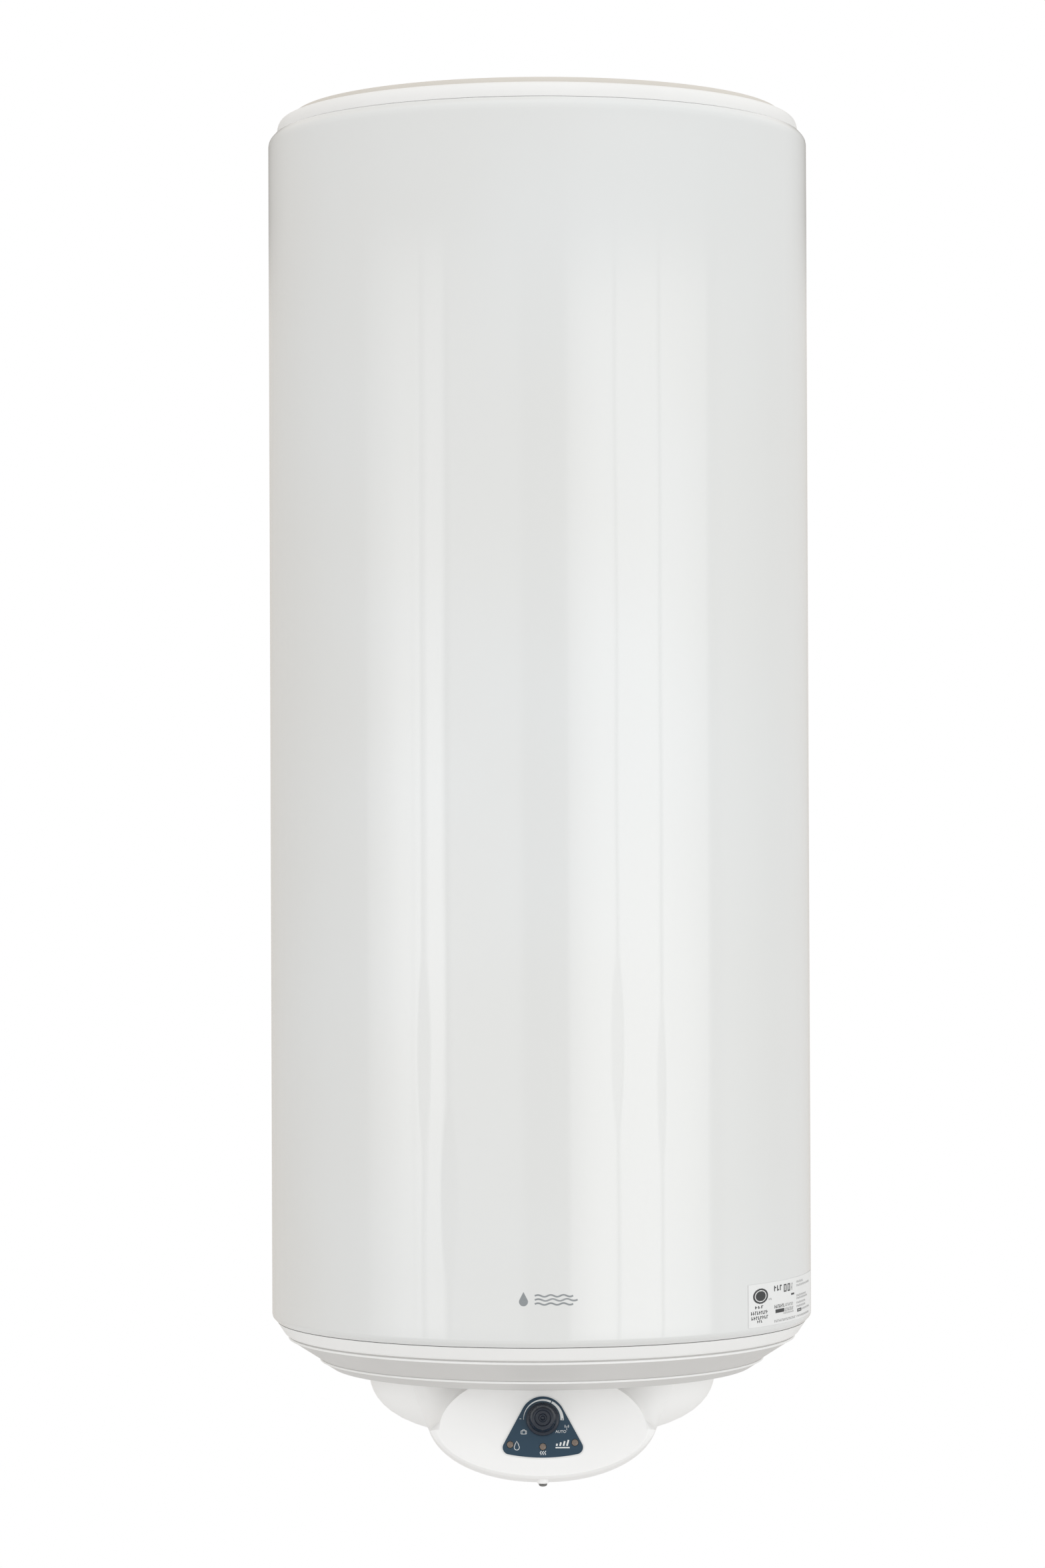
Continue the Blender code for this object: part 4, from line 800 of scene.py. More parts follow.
FACE_CENTRE = -9.0 * MM
FACE_HALF_WIDTH = 93.5 * MM
FACE_UP = 52.6 * MM
FACE_DOWN = 40.9 * MM
DRUM_CENTRE = 8.0 * MM
DRUM_HALF_WIDTH = 106.0 * MM
DRUM_DOWN = 61.0 * MM
DRUM_POWER = 2.1
DRUM_SQUARENESS = 0.952
LEDGE_HEIGHT = -8.5 * MM
CHEEK_TOP_HALF_WIDTH = 119.0 * MM
CHEEK_TOP_HEIGHT = 33.6 * MM
RIM_SETBACK = 6.0 * MM
CHEEK_SETBACK = 45.0 * MM
DRUM_SETBACK = 52.0 * MM
TAIL_SETBACK = 130.0 * MM
TAIL_DOWN_SCALE = 0.12
TAIL_LIFT = 30.0 * MM
LOWER_STEPS = 72
UPPER_STEPS = 16

# Where the drum's lower edge and the cheeks start round the face, in degrees, and how far the cheeks reach.
DRUM_START = 15.5
CHEEK_START = 9.0
CHEEK_SPAN = 66.0

# The radius of each opening and the upper end of the screw's boss, in mm.
KNOB_HOLE = 4.5
LENS_HOLE = 3.3
GLAND_HOLE = 9.4
SCREW_HOLE = 2.5
BOSS_TOP = -118.0


def power(value, exponent):
    """A power that keeps the sign, for superellipses."""
    return abs(value) ** exponent * (1 if value > 0 else -1)


def bowl_rings(inset, extra_height):
    """Level rings of the wide rear bowl, from above the rim down to its flat floor."""
    steps = (-1.0, 0.0, 0.1, 0.2, 0.3, 0.4, 0.5, 0.6, 0.7, 0.78, 0.84, 0.89, 0.93, 0.96, 0.98)
    squareness = 0.87
    rings = []
    for step in steps:
        share = max(step, 0.0)
        scale = (1.0 - share**2.2) ** (1.0 / 3.1)
        height = BOWL_RIM - share * (BOWL_DEPTH - inset)
        if step < 0.0:
            height += extra_height
        half_width = BOWL_HALF_WIDTH * scale - inset
        half_depth = BOWL_HALF_DEPTH * scale - inset
        ring = []
        for turn in even_turns(BOWL_POINTS):
            x = half_width * power(cos(turn), squareness)
            ring.append((x, BOWL_CENTRE_Y + half_depth * power(sin(turn), squareness), height))
        rings.append(ring)
    return rings


def face_point(angle, inset):
    """A point on the oval face edge; angle runs from the right side up and round, in degrees."""
    across, up = cos(radians(angle)), sin(radians(angle))
    rise = (FACE_UP if up > 0 else FACE_DOWN) - inset
    return Vector(((FACE_HALF_WIDTH - inset) * across, FACE_CENTRE + rise * up))


def drum_point(share, inset, down_scale=1.0):
    """The drum's lower edge, from the right ledge, share 0, round the bottom to the left ledge, share 1."""
    angle = radians(-DRUM_START - (180.0 - 2 * DRUM_START) * share)
    x = (DRUM_HALF_WIDTH - inset) * power(cos(angle), DRUM_SQUARENESS)
    drop = abs(sin(angle)) ** DRUM_SQUARENESS
    return Vector((x, DRUM_CENTRE - (DRUM_DOWN - inset) * drop * down_scale))


def cheek_point(share, inset):
    """The cheek edge from the ledge, share 0, up past the cover's top, share 1."""
    drop = abs(LEDGE_HEIGHT - DRUM_CENTRE) / DRUM_DOWN
    low_x = DRUM_HALF_WIDTH * (1.0 - drop**DRUM_POWER) ** (1.0 / DRUM_POWER) - inset
    slope = (CHEEK_TOP_HALF_WIDTH - inset - low_x) / (CHEEK_TOP_HEIGHT - LEDGE_HEIGHT)
    height = LEDGE_HEIGHT + 4.0 * MM + share * 60.0 * MM
    return Vector((low_x + slope * (height - LEDGE_HEIGHT), height))


def nose_plan(inset, front):
    """(low share, low setback, cheek share, cheek setback) of each ring, from the face back to the tail.

    The lower edge rolls softly from the face to a crisp rim, then runs straight back. The cheeks are flat.
    """
    edge = RIM_SETBACK / CHEEK_SETBACK
    plan = [(0.0, front, 0.0, front)]
    rim = (1.0, RIM_SETBACK + 0.9 * MM)
    roll = filleted([(0.0, 0.0), (0.30, 0.25 * MM, 0.28), (0.975, 5.0 * MM, 0.30), rim], 7)
    for share, setback in roll[1:]:
        plan.append((share, setback + inset, share * edge, share * RIM_SETBACK + inset))
    start = RIM_SETBACK + inset + 1.2 * MM
    for share in (0.25, 0.5, 0.75, 1.0):
        depth = start + (CHEEK_SETBACK - start) * share
        plan.append((1.0, depth, depth / CHEEK_SETBACK, depth))
    plan.append((1.0, DRUM_SETBACK, 1.0, DRUM_SETBACK))
    plan.append((1.0, TAIL_SETBACK, 1.0, TAIL_SETBACK))
    return plan


def nose_rings(inset, front):
    """Rings of the nose along the face normal: oval face, rim, cheek crease, drum back and tail."""
    lower = [i / LOWER_STEPS for i in range(LOWER_STEPS + 1)]
    upper = [i / UPPER_STEPS for i in range(UPPER_STEPS + 1)]
    rings = []
    for low_share, low_setback, cheek_share, cheek_setback in nose_plan(inset, front):
        tail = low_setback == TAIL_SETBACK
        ring = []
        for share in lower:
            near = face_point(-180.0 * share, inset)
            far = drum_point(share, inset, TAIL_DOWN_SCALE if tail else 1.0)
            ring.append((*near.lerp(far, low_share), -low_setback))
        right = []
        for share in upper:
            near = face_point(CHEEK_START + CHEEK_SPAN * share, inset)
            far = cheek_point(share, inset)
            x, y = near.lerp(far, min(cheek_share, 1.0))
            right.append((x, y + (TAIL_LIFT if tail else 0.0), -cheek_setback))
        ring += [(-x, y, z) for x, y, z in right]
        ring += right[::-1]
        rings.append(ring)
    return rings


def in_face(mesh):
    """Takes a mesh from the face frame to the tank frame."""
    mesh.transform(TANK.inverted() @ FACE)
    return mesh


def in_back(mesh):
    """Turns a mesh to face the wall and takes it to the cable entry in the tank frame."""
    low, high = tank_box("cable_grommet")
    mesh.transform(Matrix.Rotation(-pi / 2, 4, "X"))
    return moved(mesh, (low.x + high.x) / 2, high.y - 6.5 * MM, (low.z + high.z) / 2)


def round_bar(radius, low, high, place=(0.0, 0.0), count=32, start=0.0):
    """A plain cylinder, in mm but for its place."""
    corners = [(0, high), (radius, high), (radius, low), (0, low)]
    return turned(corners, turns=even_turns(count, start), place=place)


def lens_places():
    """Each lens node with its centre in the face frame."""
    places = {}
    for node in ("led_lens_left", "led_lens_centre", "led_lens_right"):
        low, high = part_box(node)
        centre = FACE.inverted() @ ((low + high) / 2)
        places[node] = (centre.x, centre.y)
    return places


def make_service_cover():
    """One hollow plastic shell: the bowl, the tilted nose with its oval face, bosses and openings."""
    cover = loft(bowl_rings(0.0, 30.0 * MM))
    cover = combined(cover, in_face(loft(nose_rings(0.0, 0.0))), "UNION")
    cover = combined(cover, loft(bowl_rings(COVER_WALL, 40.0 * MM)))
    cover = combined(cover, in_face(loft(nose_rings(COVER_WALL, COVER_WALL))))
    wide, tall = 500 * MM, 80 * MM
    cover = combined(cover, box_mesh((wide, wide, tall), (0.0, 0.0, COVER_TOP + tall / 2)))
    screw = plan_middle("cover_screw")
    head_low = tank_box("cover_screw")[0].z / MM
    boss = [(0, BOSS_TOP), (5.2, BOSS_TOP), (5.2, head_low + 3.3, 0.5), (0, head_low + 3.2)]
    cover = combined(cover, turned(boss, turns=48, steps=3, place=screw), "UNION")
    holes = [round_bar(KNOB_HOLE, -6, 4)]
    holes += [round_bar(LENS_HOLE, -6, 4, place) for place in lens_places().values()]
    cover = combined(cover, in_face(joined(holes)))
    cover = combined(cover, in_back(round_bar(GLAND_HOLE, -12, 12)))
    cover = combined(cover, round_bar(SCREW_HOLE, -150, -110, screw, 24, 0.2))
    shell = add_piece("service_shell", cover, "capot_plastic", stands_for=["service_cover"], sharp=28.0)
    even_shading(shell)


def make_cover_tab():
    """The shallow raised tab over the label's top, where the service cover tucks under the lower cover."""
    half, low, high = 14.2 * MM, 19.0 * MM, 27.0 * MM
    outline = filleted([(-half, low, 1.5 * MM), (half, low, 1.5 * MM), (half, high), (-half, high)])
    add_piece("cover_tab", plate(outline, -0.3 * MM, 0.55 * MM), "capot_plastic", FACE)


# ---- Controls ----

LABEL_HIGH = 1.1 * MM
INK = 0.06 * MM


def label_outline(grow=0.0):
    """A rounded triangle: an arc round the knob, two small lower corners and a bowed lower edge."""
    apex_radius = 20.5 * MM
    corner_radius = 6.2 * MM
    corner = Vector((30.0 * MM, -25.2 * MM))
    step_down = apex_radius - corner_radius
    reach = sqrt(corner.length_squared - step_down**2)
    tangent = degrees(atan2(corner.y, corner.x) + pi / 2 - atan2(step_down, reach))
    outline = arc(apex_radius + grow, tangent, 180 - tangent, 40)
    turn_in = arc(corner_radius + grow, tangent, -81.0, 16, corner)
    low_x, low_y = turn_in[-1]
    outline += [(-x, y) for x, y in turn_in]
    for i in range(1, 24):
        share = -1.0 + i / 12
        outline.append((low_x * share, low_y - 3.0 * MM * (1.0 - share**2)))
    return outline + turn_in[::-1]


def make_label():
    holes = [circle(KNOB_HOLE * MM)]
    holes += [circle(LENS_HOLE * MM, place) for place in lens_places().values()]
    mesh = plate(label_outline(), 0.3 * MM, LABEL_HIGH, holes)
    add_piece("label_plate", mesh, "label_slate", FACE, stands_for=["control_label"])
    rim = plate(label_outline(1.25 * MM), 0.02 * MM, 0.85 * MM, [label_outline(0.05 * MM)])
    add_piece("label_rim", rim, "sticker_white", FACE)


def scale_arc():
    """The tapered temperature band round the knob, thin at its cold end, with a gap near two o'clock."""
    bands = []
    for start, end in ((181.0, 64.5), (61.5, -3.0)):
        outer, inner = [], []
        steps = 40
        for i in range(steps + 1):
            angle = start + (end - start) * i / steps
            share = max((180.0 - angle) / 180.0, 0.0)
            reach_out = (17.5 + 1.5 * share**1.5) * MM
            reach_in = reach_out - (0.25 + 2.75 * share**1.1) * MM
            outer.append(arc(reach_out, angle, angle, 1)[0])
            inner.append(arc(reach_in, angle, angle, 1)[0])
        bands.append(plate(outer + inner[::-1], LABEL_HIGH, LABEL_HIGH + INK))
    return bands


def stroke(points, width=0.38, closed=False, level=LABEL_HIGH):
    """A printed line along points, in mm."""
    return ribbon(in_mm(points), width * MM, level, level + INK, closed)


def case_icon():
    """A travel case, for the holiday setting."""
    x, y = -17.2, -11.4
    half, low, high = 2.5, y - 1.8, y + 1.2
    corners = [(x - half, low, 0.6), (x + half, low, 0.6), (x + half, high, 0.6), (x - half, high, 0.6)]
    handle = [(x - 1.1, high), (x - 0.9, y + 2.1), (x + 0.9, y + 2.1), (x + 1.1, high)]
    sides = [stroke([(x + side, low), (x + side, high)], 0.3) for side in (-1.5, 1.5)]
    return [stroke(filleted(corners), closed=True), stroke(handle), *sides]


def drop_icon():
    """A water drop outline, for the hot water lamp."""
    x, y, radius = -23.5, -25.2, 2.3
    points = [(x + px, y + py) for px, py in arc(radius, -200.0, 20.0, 24)]
    tip = (x, y + 5.6)
    right = points[-1]
    left = points[0]
    points += [((right[0] + tip[0]) / 2 + 0.25, (right[1] + tip[1]) / 2), tip]
    points += [((left[0] + tip[0]) / 2 - 0.25, (left[1] + tip[1]) / 2)]
    return [stroke(points, 0.5, closed=True)]


def heat_icon():
    """Three rising waves, for the heating lamp."""
    strokes = []
    for offset in (-2.0, 0.0, 2.0):
        wave = [(offset + 0.55 * sin(i * pi / 4), -31.9 + i * 0.32) for i in range(12)]
        strokes.append(stroke(wave, 0.6))
    return strokes


def signal_icon():
    """A small mast with two arcs a side, for the remote signal."""
    x, y = 21.7, -6.4
    strokes = [stroke([(x, y), (x, y - 3.4)], 0.34)]
    for radius in (1.1, 1.9):
        for middle in (0.0, 180.0):
            strokes.append(stroke(arc(radius, middle - 42.0, middle + 42.0, 8, (x, y)), 0.28))
    return strokes


def level_icon():
    """Four slanted bars of growing height over a line, a plain symbol for the anode lamp."""
    strokes = []
    for i in range(4):
        x = 12.4 + i * 3.1
        rise = 2.0 + i * 1.1
        strokes.append(stroke([(x, -23.9), (x + rise * 0.28, -23.9 + rise)], 1.5))
    strokes.append(stroke([(11.4, -25.5), (24.2, -25.5)], 1.1))
    return strokes


def word(text, size, centre):
    """Text in Blender's own font, as thin solid letters."""
    curve = bpy.data.curves.new("word", "FONT")
    curve.body = text
    curve.size = size
    curve.align_x = "CENTER"
    curve.align_y = "CENTER"
    curve.extrude = INK / 2
    curve.resolution_u = 3
    mesh = curve_mesh(curve, LABEL_HIGH + INK / 2)
    return moved(mesh, *centre, 0.0)


def make_legend():
    white = [*scale_arc(), *case_icon(), *drop_icon(), *heat_icon(), *signal_icon(), *level_icon()]
    white.append(word("AUTO", 3.5 * MM, (16.3 * MM, -11.2 * MM)))
    white.append(stroke([(-21.0, 0.5), (-19.4, 0.5)], 0.4))
    add_piece("label_legend", joined(white), "sticker_white", FACE, material=INKS["white_ink"])
    lines = ([(17.0, 0.0), (18.6, 0.0)], [(17.8, -0.8), (17.8, 0.8)])
    plus = [stroke(line, 0.42, level=LABEL_HIGH + INK) for line in lines]
    add_piece("legend_plus", joined(plus), "label_slate", FACE, material=INKS["slate_ink"])


def make_knob():
    """The round knob: skirt, tapered grip, ringed front with a dimple, and an index notch."""
    low = 1.5 * MM
    dimple = [(0, 12.9), (1.4, 13.2, 0.5), (2.2, 14.5, 0.5), (3.1, 14.8, 0.4), (3.9, 13.5, 0.5)]
    ring = [(6.6, 13.3, 0.6), (7.6, 14.9, 0.6), (8.7, 14.8, 0.8), (10.2, 13.2, 1.0)]
    grip = [(11.7, 9.5, 1.5), (12.3, 4.8, 0.6), (13.4, 3.8, 0.7), (14.95, 2.8, 0.8), (14.95, 0, 0.3)]
    socket = [(3.4, 0), (3.4, 8.5), (0, 8.5)]
    mesh = turned([*dimple, *ring, *grip, *socket], low, 128)
    notch = box_mesh((1.2 * MM, 2.6 * MM, 5.0 * MM), (0.0, 14.4 * MM, low + 2.0 * MM))
    add_piece("knob_grip", combined(mesh, notch), "knob_black", FACE, KNOB, ["control_knob"], sharp=38.0)


def make_lenses():
    guide = [(0, 1.7), (1.5, 1.62, 0.5), (2.55, 1.25, 0.3), (2.88, 1.2, 0.1), (2.88, -12.6), (0, -12.6)]
    for node, place in lens_places().items():
        mesh = turned(guide, turns=48, place=place)
        add_piece(node + "_guide", mesh, "lens_smoke", FACE, stands_for=[node])


def make_cover_screw():
    """A domed screw with a cross recess, head down."""
    x, y = plan_middle("cover_screw")
    low = tank_box("cover_screw")[0].z
    shank = [(0, 19.8), (1.9, 18.3), (1.9, 2.8, 0.2)]
    head = [(3.95, 2.8, 0.3), (3.9, 1.9, 0.4), (3.0, 0.6, 1.0), (0, 0)]
    mesh = turned([*shank, *head], low, 48, 5, (x, y))
    for turn in (0.35, 0.35 + pi / 2):
        arm = box_mesh((4.2 * MM, 0.9 * MM, 3.0 * MM), (x, y, low + 0.2 * MM), turn)
        mesh = combined(mesh, arm)
    add_piece("screw_domed", mesh, "zinc_screw", stands_for=["cover_screw"])


# ---- Water connections ----

THREAD_PITCH = 1.814 * MM
THREAD_DEPTH = 1.0 * MM
THREAD_LENGTH = 20.0 * MM
RINGS_PER_PITCH = 8


def thread_radius(crest, turn, height, low):
    """A parallel pipe thread cut round the lower end, running out at both ends."""
    phase = ((height - low) / THREAD_PITCH - turn / (2 * pi)) % 1.0
    groove = min(max(1.5 - abs(phase - 0.5) * 4.0, 0.0), 1.0)
    run_out = smooth_step(height, low + THREAD_LENGTH, low + THREAD_LENGTH - 2 * THREAD_PITCH)
    start = smooth_step(height, low + 0.2 * MM, low + 1.4 * MM)
    return crest - THREAD_DEPTH * groove * run_out * start


def make_pipe(node, name):
    low, high = tank_box(node)
    crest = (high.x - low.x) / 2
    bore = 10.6 * MM
    chamfer = 1.0 * MM
    count = int(THREAD_LENGTH / THREAD_PITCH * RINGS_PER_PITCH)
    levels = [low.z + chamfer + THREAD_LENGTH * (count - i) / count for i in range(count + 1)]

    def shape(radius, turn, height):
        return thread_radius(radius, turn, height, low.z) if abs(radius - crest) < 0.01 * MM else radius

    profile = [(crest, level) for level in (high.z, *levels)]
    profile += [(crest - chamfer, low.z), (bore + 0.5 * MM, low.z), (bore, low.z + 0.5 * MM), (bore, high.z)]
    mesh = moved(lathe(profile, 72, shape), *plan_middle(node), 0.0)
    add_piece(name, mesh, "galvanised_steel", stands_for=[node], material=MATERIALS["stainless"], sharp=50.0)


def make_pipe_ring(node, slot):
    """The coloured ring that marks a connection, with a soft bead and eight grip notches."""
    low, high = tank_box(node)
    outer = (high.x - low.x) / 2 / MM
    top = (high.z - low.z) / MM

    def notched(radius, turn, height):
        wave = max(cos(8 * turn), 0.0) ** 6
        return radius - 0.9 * MM * wave if radius > 18.0 * MM else radius

    corners = [(outer, top), (outer, 1.6, 1.2), (17.6, 0, 1.0), (13.6, 0, 0.4), (13.6, top)]
    mesh = turned(corners, low.z, 144, place=plan_middle(node), shape=notched)
    add_piece(node + "_collar", mesh, slot, stands_for=[node])


def make_grommet():
    outside = [(7.4, 6.5, 0.5), (11.9, 4.6, 1.0), (12.0, 3.0, 0.3), (9.0, 3.0), (9.0, -6.0, 0.6)]
    bore = [(4.8, -6.0, 0.4), (4.8, 1.0), (5.4, 2.4, 0.6), (4.8, 3.8, 0.6), (4.8, 6.5, 0.3)]
    mesh = in_back(turned([*outside, *bore], turns=64))
    add_piece("grommet_ring", mesh, "gasket_rubber", stands_for=["cable_grommet"])


# ---- Brackets ----


def make_bracket(node):
    """The pressed channel bracket, with its edges broken and its bends rounded."""
    bm = bmesh.new()
    bm.from_mesh(frame["nodes"][node].data)
    bmesh.ops.remove_doubles(bm, verts=bm.verts, dist=0.00001)
    bmesh.ops.dissolve_limit(bm, angle_limit=radians(2.0), verts=bm.verts, edges=bm.edges)
    edges = [edge for edge in bm.edges if edge.is_manifold and edge.calc_face_angle(0.0) > radians(40)]
    bmesh.ops.bevel(bm, geom=edges, offset=0.5 * MM, segments=2, affect="EDGES", clamp_overlap=True)
    mesh = mesh_of(bm)
    piece = add_piece(node + "_pressing", mesh, "galvanised_steel", Matrix.Identity(4), stands_for=[node])
    even_shading(piece)


# ---- Sticker and marks on the jacket ----


def on_jacket(mesh, middle, lift):
    """Wraps a flat mesh round the jacket's side, about a middle angle from the front.

    The mesh's x is the distance round the jacket, its y the height and its z the distance off the surface.
    """
    for vertex in mesh.vertices:
        x, y, z = vertex.co
        angle = FRONT + middle + x / JACKET_RADIUS
        reach = JACKET_RADIUS - SHEET_SETBACK - sheet_dip(angle, y) + lift + z
        vertex.co = (reach * cos(angle), reach * sin(angle), y)
    return mesh


def fine_bar(left, right, low, high, depth=0.05 * MM):
    """A flat bar in strips narrow enough to wrap."""
    count = max(2, int((right - left) / (3.0 * MM)))
    xs = [left + (right - left) * i / count for i in range(count + 1)]
    outline = [(x, low) for x in xs] + [(x, high) for x in reversed(xs)]
    bm = bmesh.new()
    for level in (0.0, depth):
        verts = [bm.verts.new((x, y, level)) for x, y in outline]
        for i in range(count):
            bm.faces.new((verts[i], verts[i + 1], verts[-i - 2], verts[-i - 1]))
    verts = list(bm.verts)
    size = len(outline)
    for i in range(size):
        j = (i + 1) % size
        bm.faces.new((verts[i], verts[j], verts[size + j], verts[size + i]))
    return mesh_of(bm)


# The sticker's print, in mm from its lower left corner: left, right, low, high and letter pitch.
BOLD_ROWS = (
    (9.5, 25.5, 16.5, 19.0, 4.6), (3.5, 32.0, 11.2, 14.4, 2.9), (4.0, 32.0, 6.7, 9.8, 3.3),
    (12.5, 23.5, 3.7, 6.0, 2.8), (40.5, 56.5, 30.0, 35.0, 5.3), (41.0, 61.0, 14.3, 17.5, 2.8),
)
FINE_ROWS = (
    (31.0, 37.5, 22.8, 24.6, 1.9), (62.0, 81.5, 14.4, 17.2, 2.6), (61.5, 81.5, 9.8, 13.2, 2.4),
    (58.0, 81.5, 7.9, 9.2, 1.8), (40.5, 87.0, 1.7, 4.0, 2.7), (75.0, 81.5, 28.0, 34.6, 2.2),
    (89.0, 111.0, 33.2, 35.2, 2.6), (89.0, 138.0, 29.9, 31.8, 2.8), (89.0, 124.0, 20.7, 22.6, 2.7),
    (89.0, 127.0, 18.2, 20.0, 2.7), (89.0, 120.0, 14.2, 16.0, 2.7), (89.0, 120.0, 10.9, 12.7, 2.7),
    (104.5, 138.0, 7.3, 9.1, 2.7), (89.0, 136.0, 1.9, 3.7, 2.7),
)
# Boxes of the print: left, right, low and high.
SOLID_BOXES = ((42.5, 59.5, 10.0, 13.3), (75.0, 82.5, 23.5, 25.2))
HOLLOW_BOXES = ((59.0, 64.6, 27.8, 34.8), (67.0, 72.6, 27.8, 34.8), (90.5, 103.0, 6.6, 9.4))
# The oval mark: the radii are of its outer edge and of its light ring's two edges.
DISC_CENTRE = (18.2, 27.6)
DISC_HALF_WIDTH = 11.6
DISC_RADII = (6.8, 5.3, 4.5)
STICKER_END = radians(82)


def letter_bars(left, right, low, high, pitch):
    """A row of plain strokes that stands for small print: an upright and a crossbar for each letter."""
    bars = []
    height = high - low
    for i in range(int((right - left) / pitch)):
        x = left + i * pitch
        cross = low + height * (0.40 + 0.38 * sin(2.3 * i + left))
        bars.append((x, x + 0.30 * pitch, low, high))
        bars.append((x, x + 0.68 * pitch, cross, cross + 0.24 * height))
    return bars


def hollow_box(left, right, low, high, edge=1.1, side=1.65):
    """The four bars of an empty box, a little thicker at the sides, which are seen aslant."""
    uprights = [(left, left + side, low, high), (right - side, right, low, high)]
    return [*uprights, (left, right, low, low + edge), (left, right, high - edge, high)]


def disc_bars():
    """A dark oval with a thin light ring inside it, cut in level strips."""
    rows = 28
    radius = DISC_RADII[0]
    strip = 2 * radius / rows
    lap = 0.52 * strip
    x, y = DISC_CENTRE
    bars = []
    for i in range(rows):
        off = -radius + strip * (i + 0.5)
        reaches = [sqrt(max(each**2 - off**2, 0.0)) * DISC_HALF_WIDTH / radius for each in DISC_RADII]
        edge, ring_out, ring_in = reaches
        for left, right in ((-edge, -ring_out), (-ring_in, ring_in), (ring_out, edge)):
            if right - left > 0.3:
                bars.append((x + left, x + right, y + off - lap, y + off + lap))
    return bars


def make_sticker():
    """The rating sticker on the lower right, with plain strokes, boxes and an oval for its print."""
    low, high = tank_box("rating_sticker")
    start = asin(low.x / (JACKET_RADIUS + 0.4 * MM))
    middle = (start + STICKER_END) / 2
    half = (STICKER_END - start) / 2 * JACKET_RADIUS
    bottom, top = low.z, high.z
    sheet = on_jacket(fine_bar(-half, half, bottom, top, 0.25 * MM), middle, 0.15 * MM)
    add_piece("sticker_sheet", sheet, "sticker_white", stands_for=["rating_sticker"])
    bold = [*SOLID_BOXES, *disc_bars()]
    bold += [bar for row in BOLD_ROWS for bar in letter_bars(*row)]
    bold += [bar for box in HOLLOW_BOXES for bar in hollow_box(*box)]
    fine = [bar for row in FINE_ROWS for bar in letter_bars(*row)]
    prints = (("sticker_print", bold, "black_ink"), ("sticker_small_print", fine, "print_grey"))
    for name, bars, ink in prints:
        meshes = []
        for left, right, bar_low, bar_high in bars:
            place = (left * MM - half, right * MM - half, bottom + bar_low * MM, bottom + bar_high * MM)
            meshes.append(fine_bar(*place))
        mesh = on_jacket(joined(meshes), middle, 0.42 * MM)
        add_piece(name, mesh, "component_black", material=INKS[ink])


def make_jacket_mark():
    """A plain grey mark low on the front: a water drop and three level waves."""
    level = 43.0 * MM
    across = 8.0 * MM
    height = 0.05 * MM
    drop = [(x - 25.0, y) for x, y in arc(4.0, -205.0, 25.0, 24, (0.0, -1.6))] + [(-25.0, 7.0)]
    meshes = [plate(in_mm(drop), 0.0, height)]
    count = 48
    for row, reach in ((3.6, 34.0), (0.0, 38.0), (-3.6, 34.0)):
        wave = [(-15.0 + reach * i / count, row + 0.75 * sin(i * pi / 8)) for i in range(count + 1)]
        meshes.append(ribbon(in_mm(wave), 1.5 * MM, 0.0, height))
    mesh = on_jacket(moved(joined(meshes), across, level, 0.0), 0.0, 0.02 * MM)
    add_piece("jacket_mark", mesh, "housing_grey", material=INKS["grey_ink"])


# ---- The CAD nodes that stay ----


def dress_cad_nodes():
    """Every carried-over node takes the material of its slot."""
    for part in frame["record"]["subparts"]:
        node = frame["nodes"][part["node"]]
        node.data.materials.clear()
        node.data.materials.append(MATERIALS[part["material_slot"]])


# ---- Stage ----


def make_floor():
    """A pale floor well below the heater, which fades out towards its edge and is clear from below."""
    radius = 4.0
    drop = 0.90
    bm = bmesh.new()
    bmesh.ops.create_circle(bm, cap_ends=True, segments=96, radius=radius)
    mesh = bpy.data.meshes.new("floor")
    bm.to_mesh(mesh)
    bm.free()
    floor = bpy.data.objects.new("floor", mesh)
    floor.location = (0.0, AXIS_Y, CAD_BOX[0].z - drop)
    bpy.context.scene.collection.objects.link(floor)
    shader = Shader("floor", 0.7, Base_Color=(0.78, 0.78, 0.78, 1.0))
    length = shader.add("ShaderNodeVectorMath", operation="LENGTH")
    shader.link(shader.place, length.inputs[0])
    ends = (0.55 * radius, 0.98 * radius)
    fade = shader.range(length.outputs["Value"], 1.0, 0.0, *ends, interpolation_type="SMOOTHSTEP")
    below = shader.add("ShaderNodeNewGeometry").outputs["Backfacing"]
    seen = shader.add("ShaderNodeMath", operation="SUBTRACT", use_clamp=True)
    shader.link(fade, seen.inputs[0])
    shader.link(below, seen.inputs[1])
    shader.link(seen.outputs["Value"], shader.principled.inputs["Alpha"])
    mesh.materials.append(shader.material)


# Light as (azimuth, level), with the azimuth in degrees from the front and positive to the right: two
# softboxes with dark gaps in them, the room's tone and the share of the shade on the wall's side.
LEFT_BOX = (
    (-78.5, 0.0), (-76.8, 0.24), (-69, 0.48), (-61, 0.80), (-56, 0.86), (-55.3, 0.55), (-54.6, 0.86),
    (-51.6, 0.94), (-50.9, 0.34), (-49.5, 0.34), (-48.8, 0.98), (-42, 0.96), (-40.4, 0.50), (-39.6, 0.10),
    (-38.4, 0.10), (-37.6, 0.34), (-9, 0.24), (-6.5, 0.0),
)
RIGHT_BOX = (
    (10.8, 0.0), (12.6, 0.42), (19, 0.72), (25.2, 0.90), (30.9, 0.94), (31.5, 0.40), (32.5, 0.40),
    (33.1, 0.94), (50.6, 0.98), (51.2, 0.36), (52.2, 0.36), (52.8, 0.94), (64, 0.80), (74.5, 0.58),
    (76.6, 0.16), (79.5, 0.10), (85, 0.20), (115, 0.0),
)
REAR_TONE = (0.74, 0.71, 0.67)
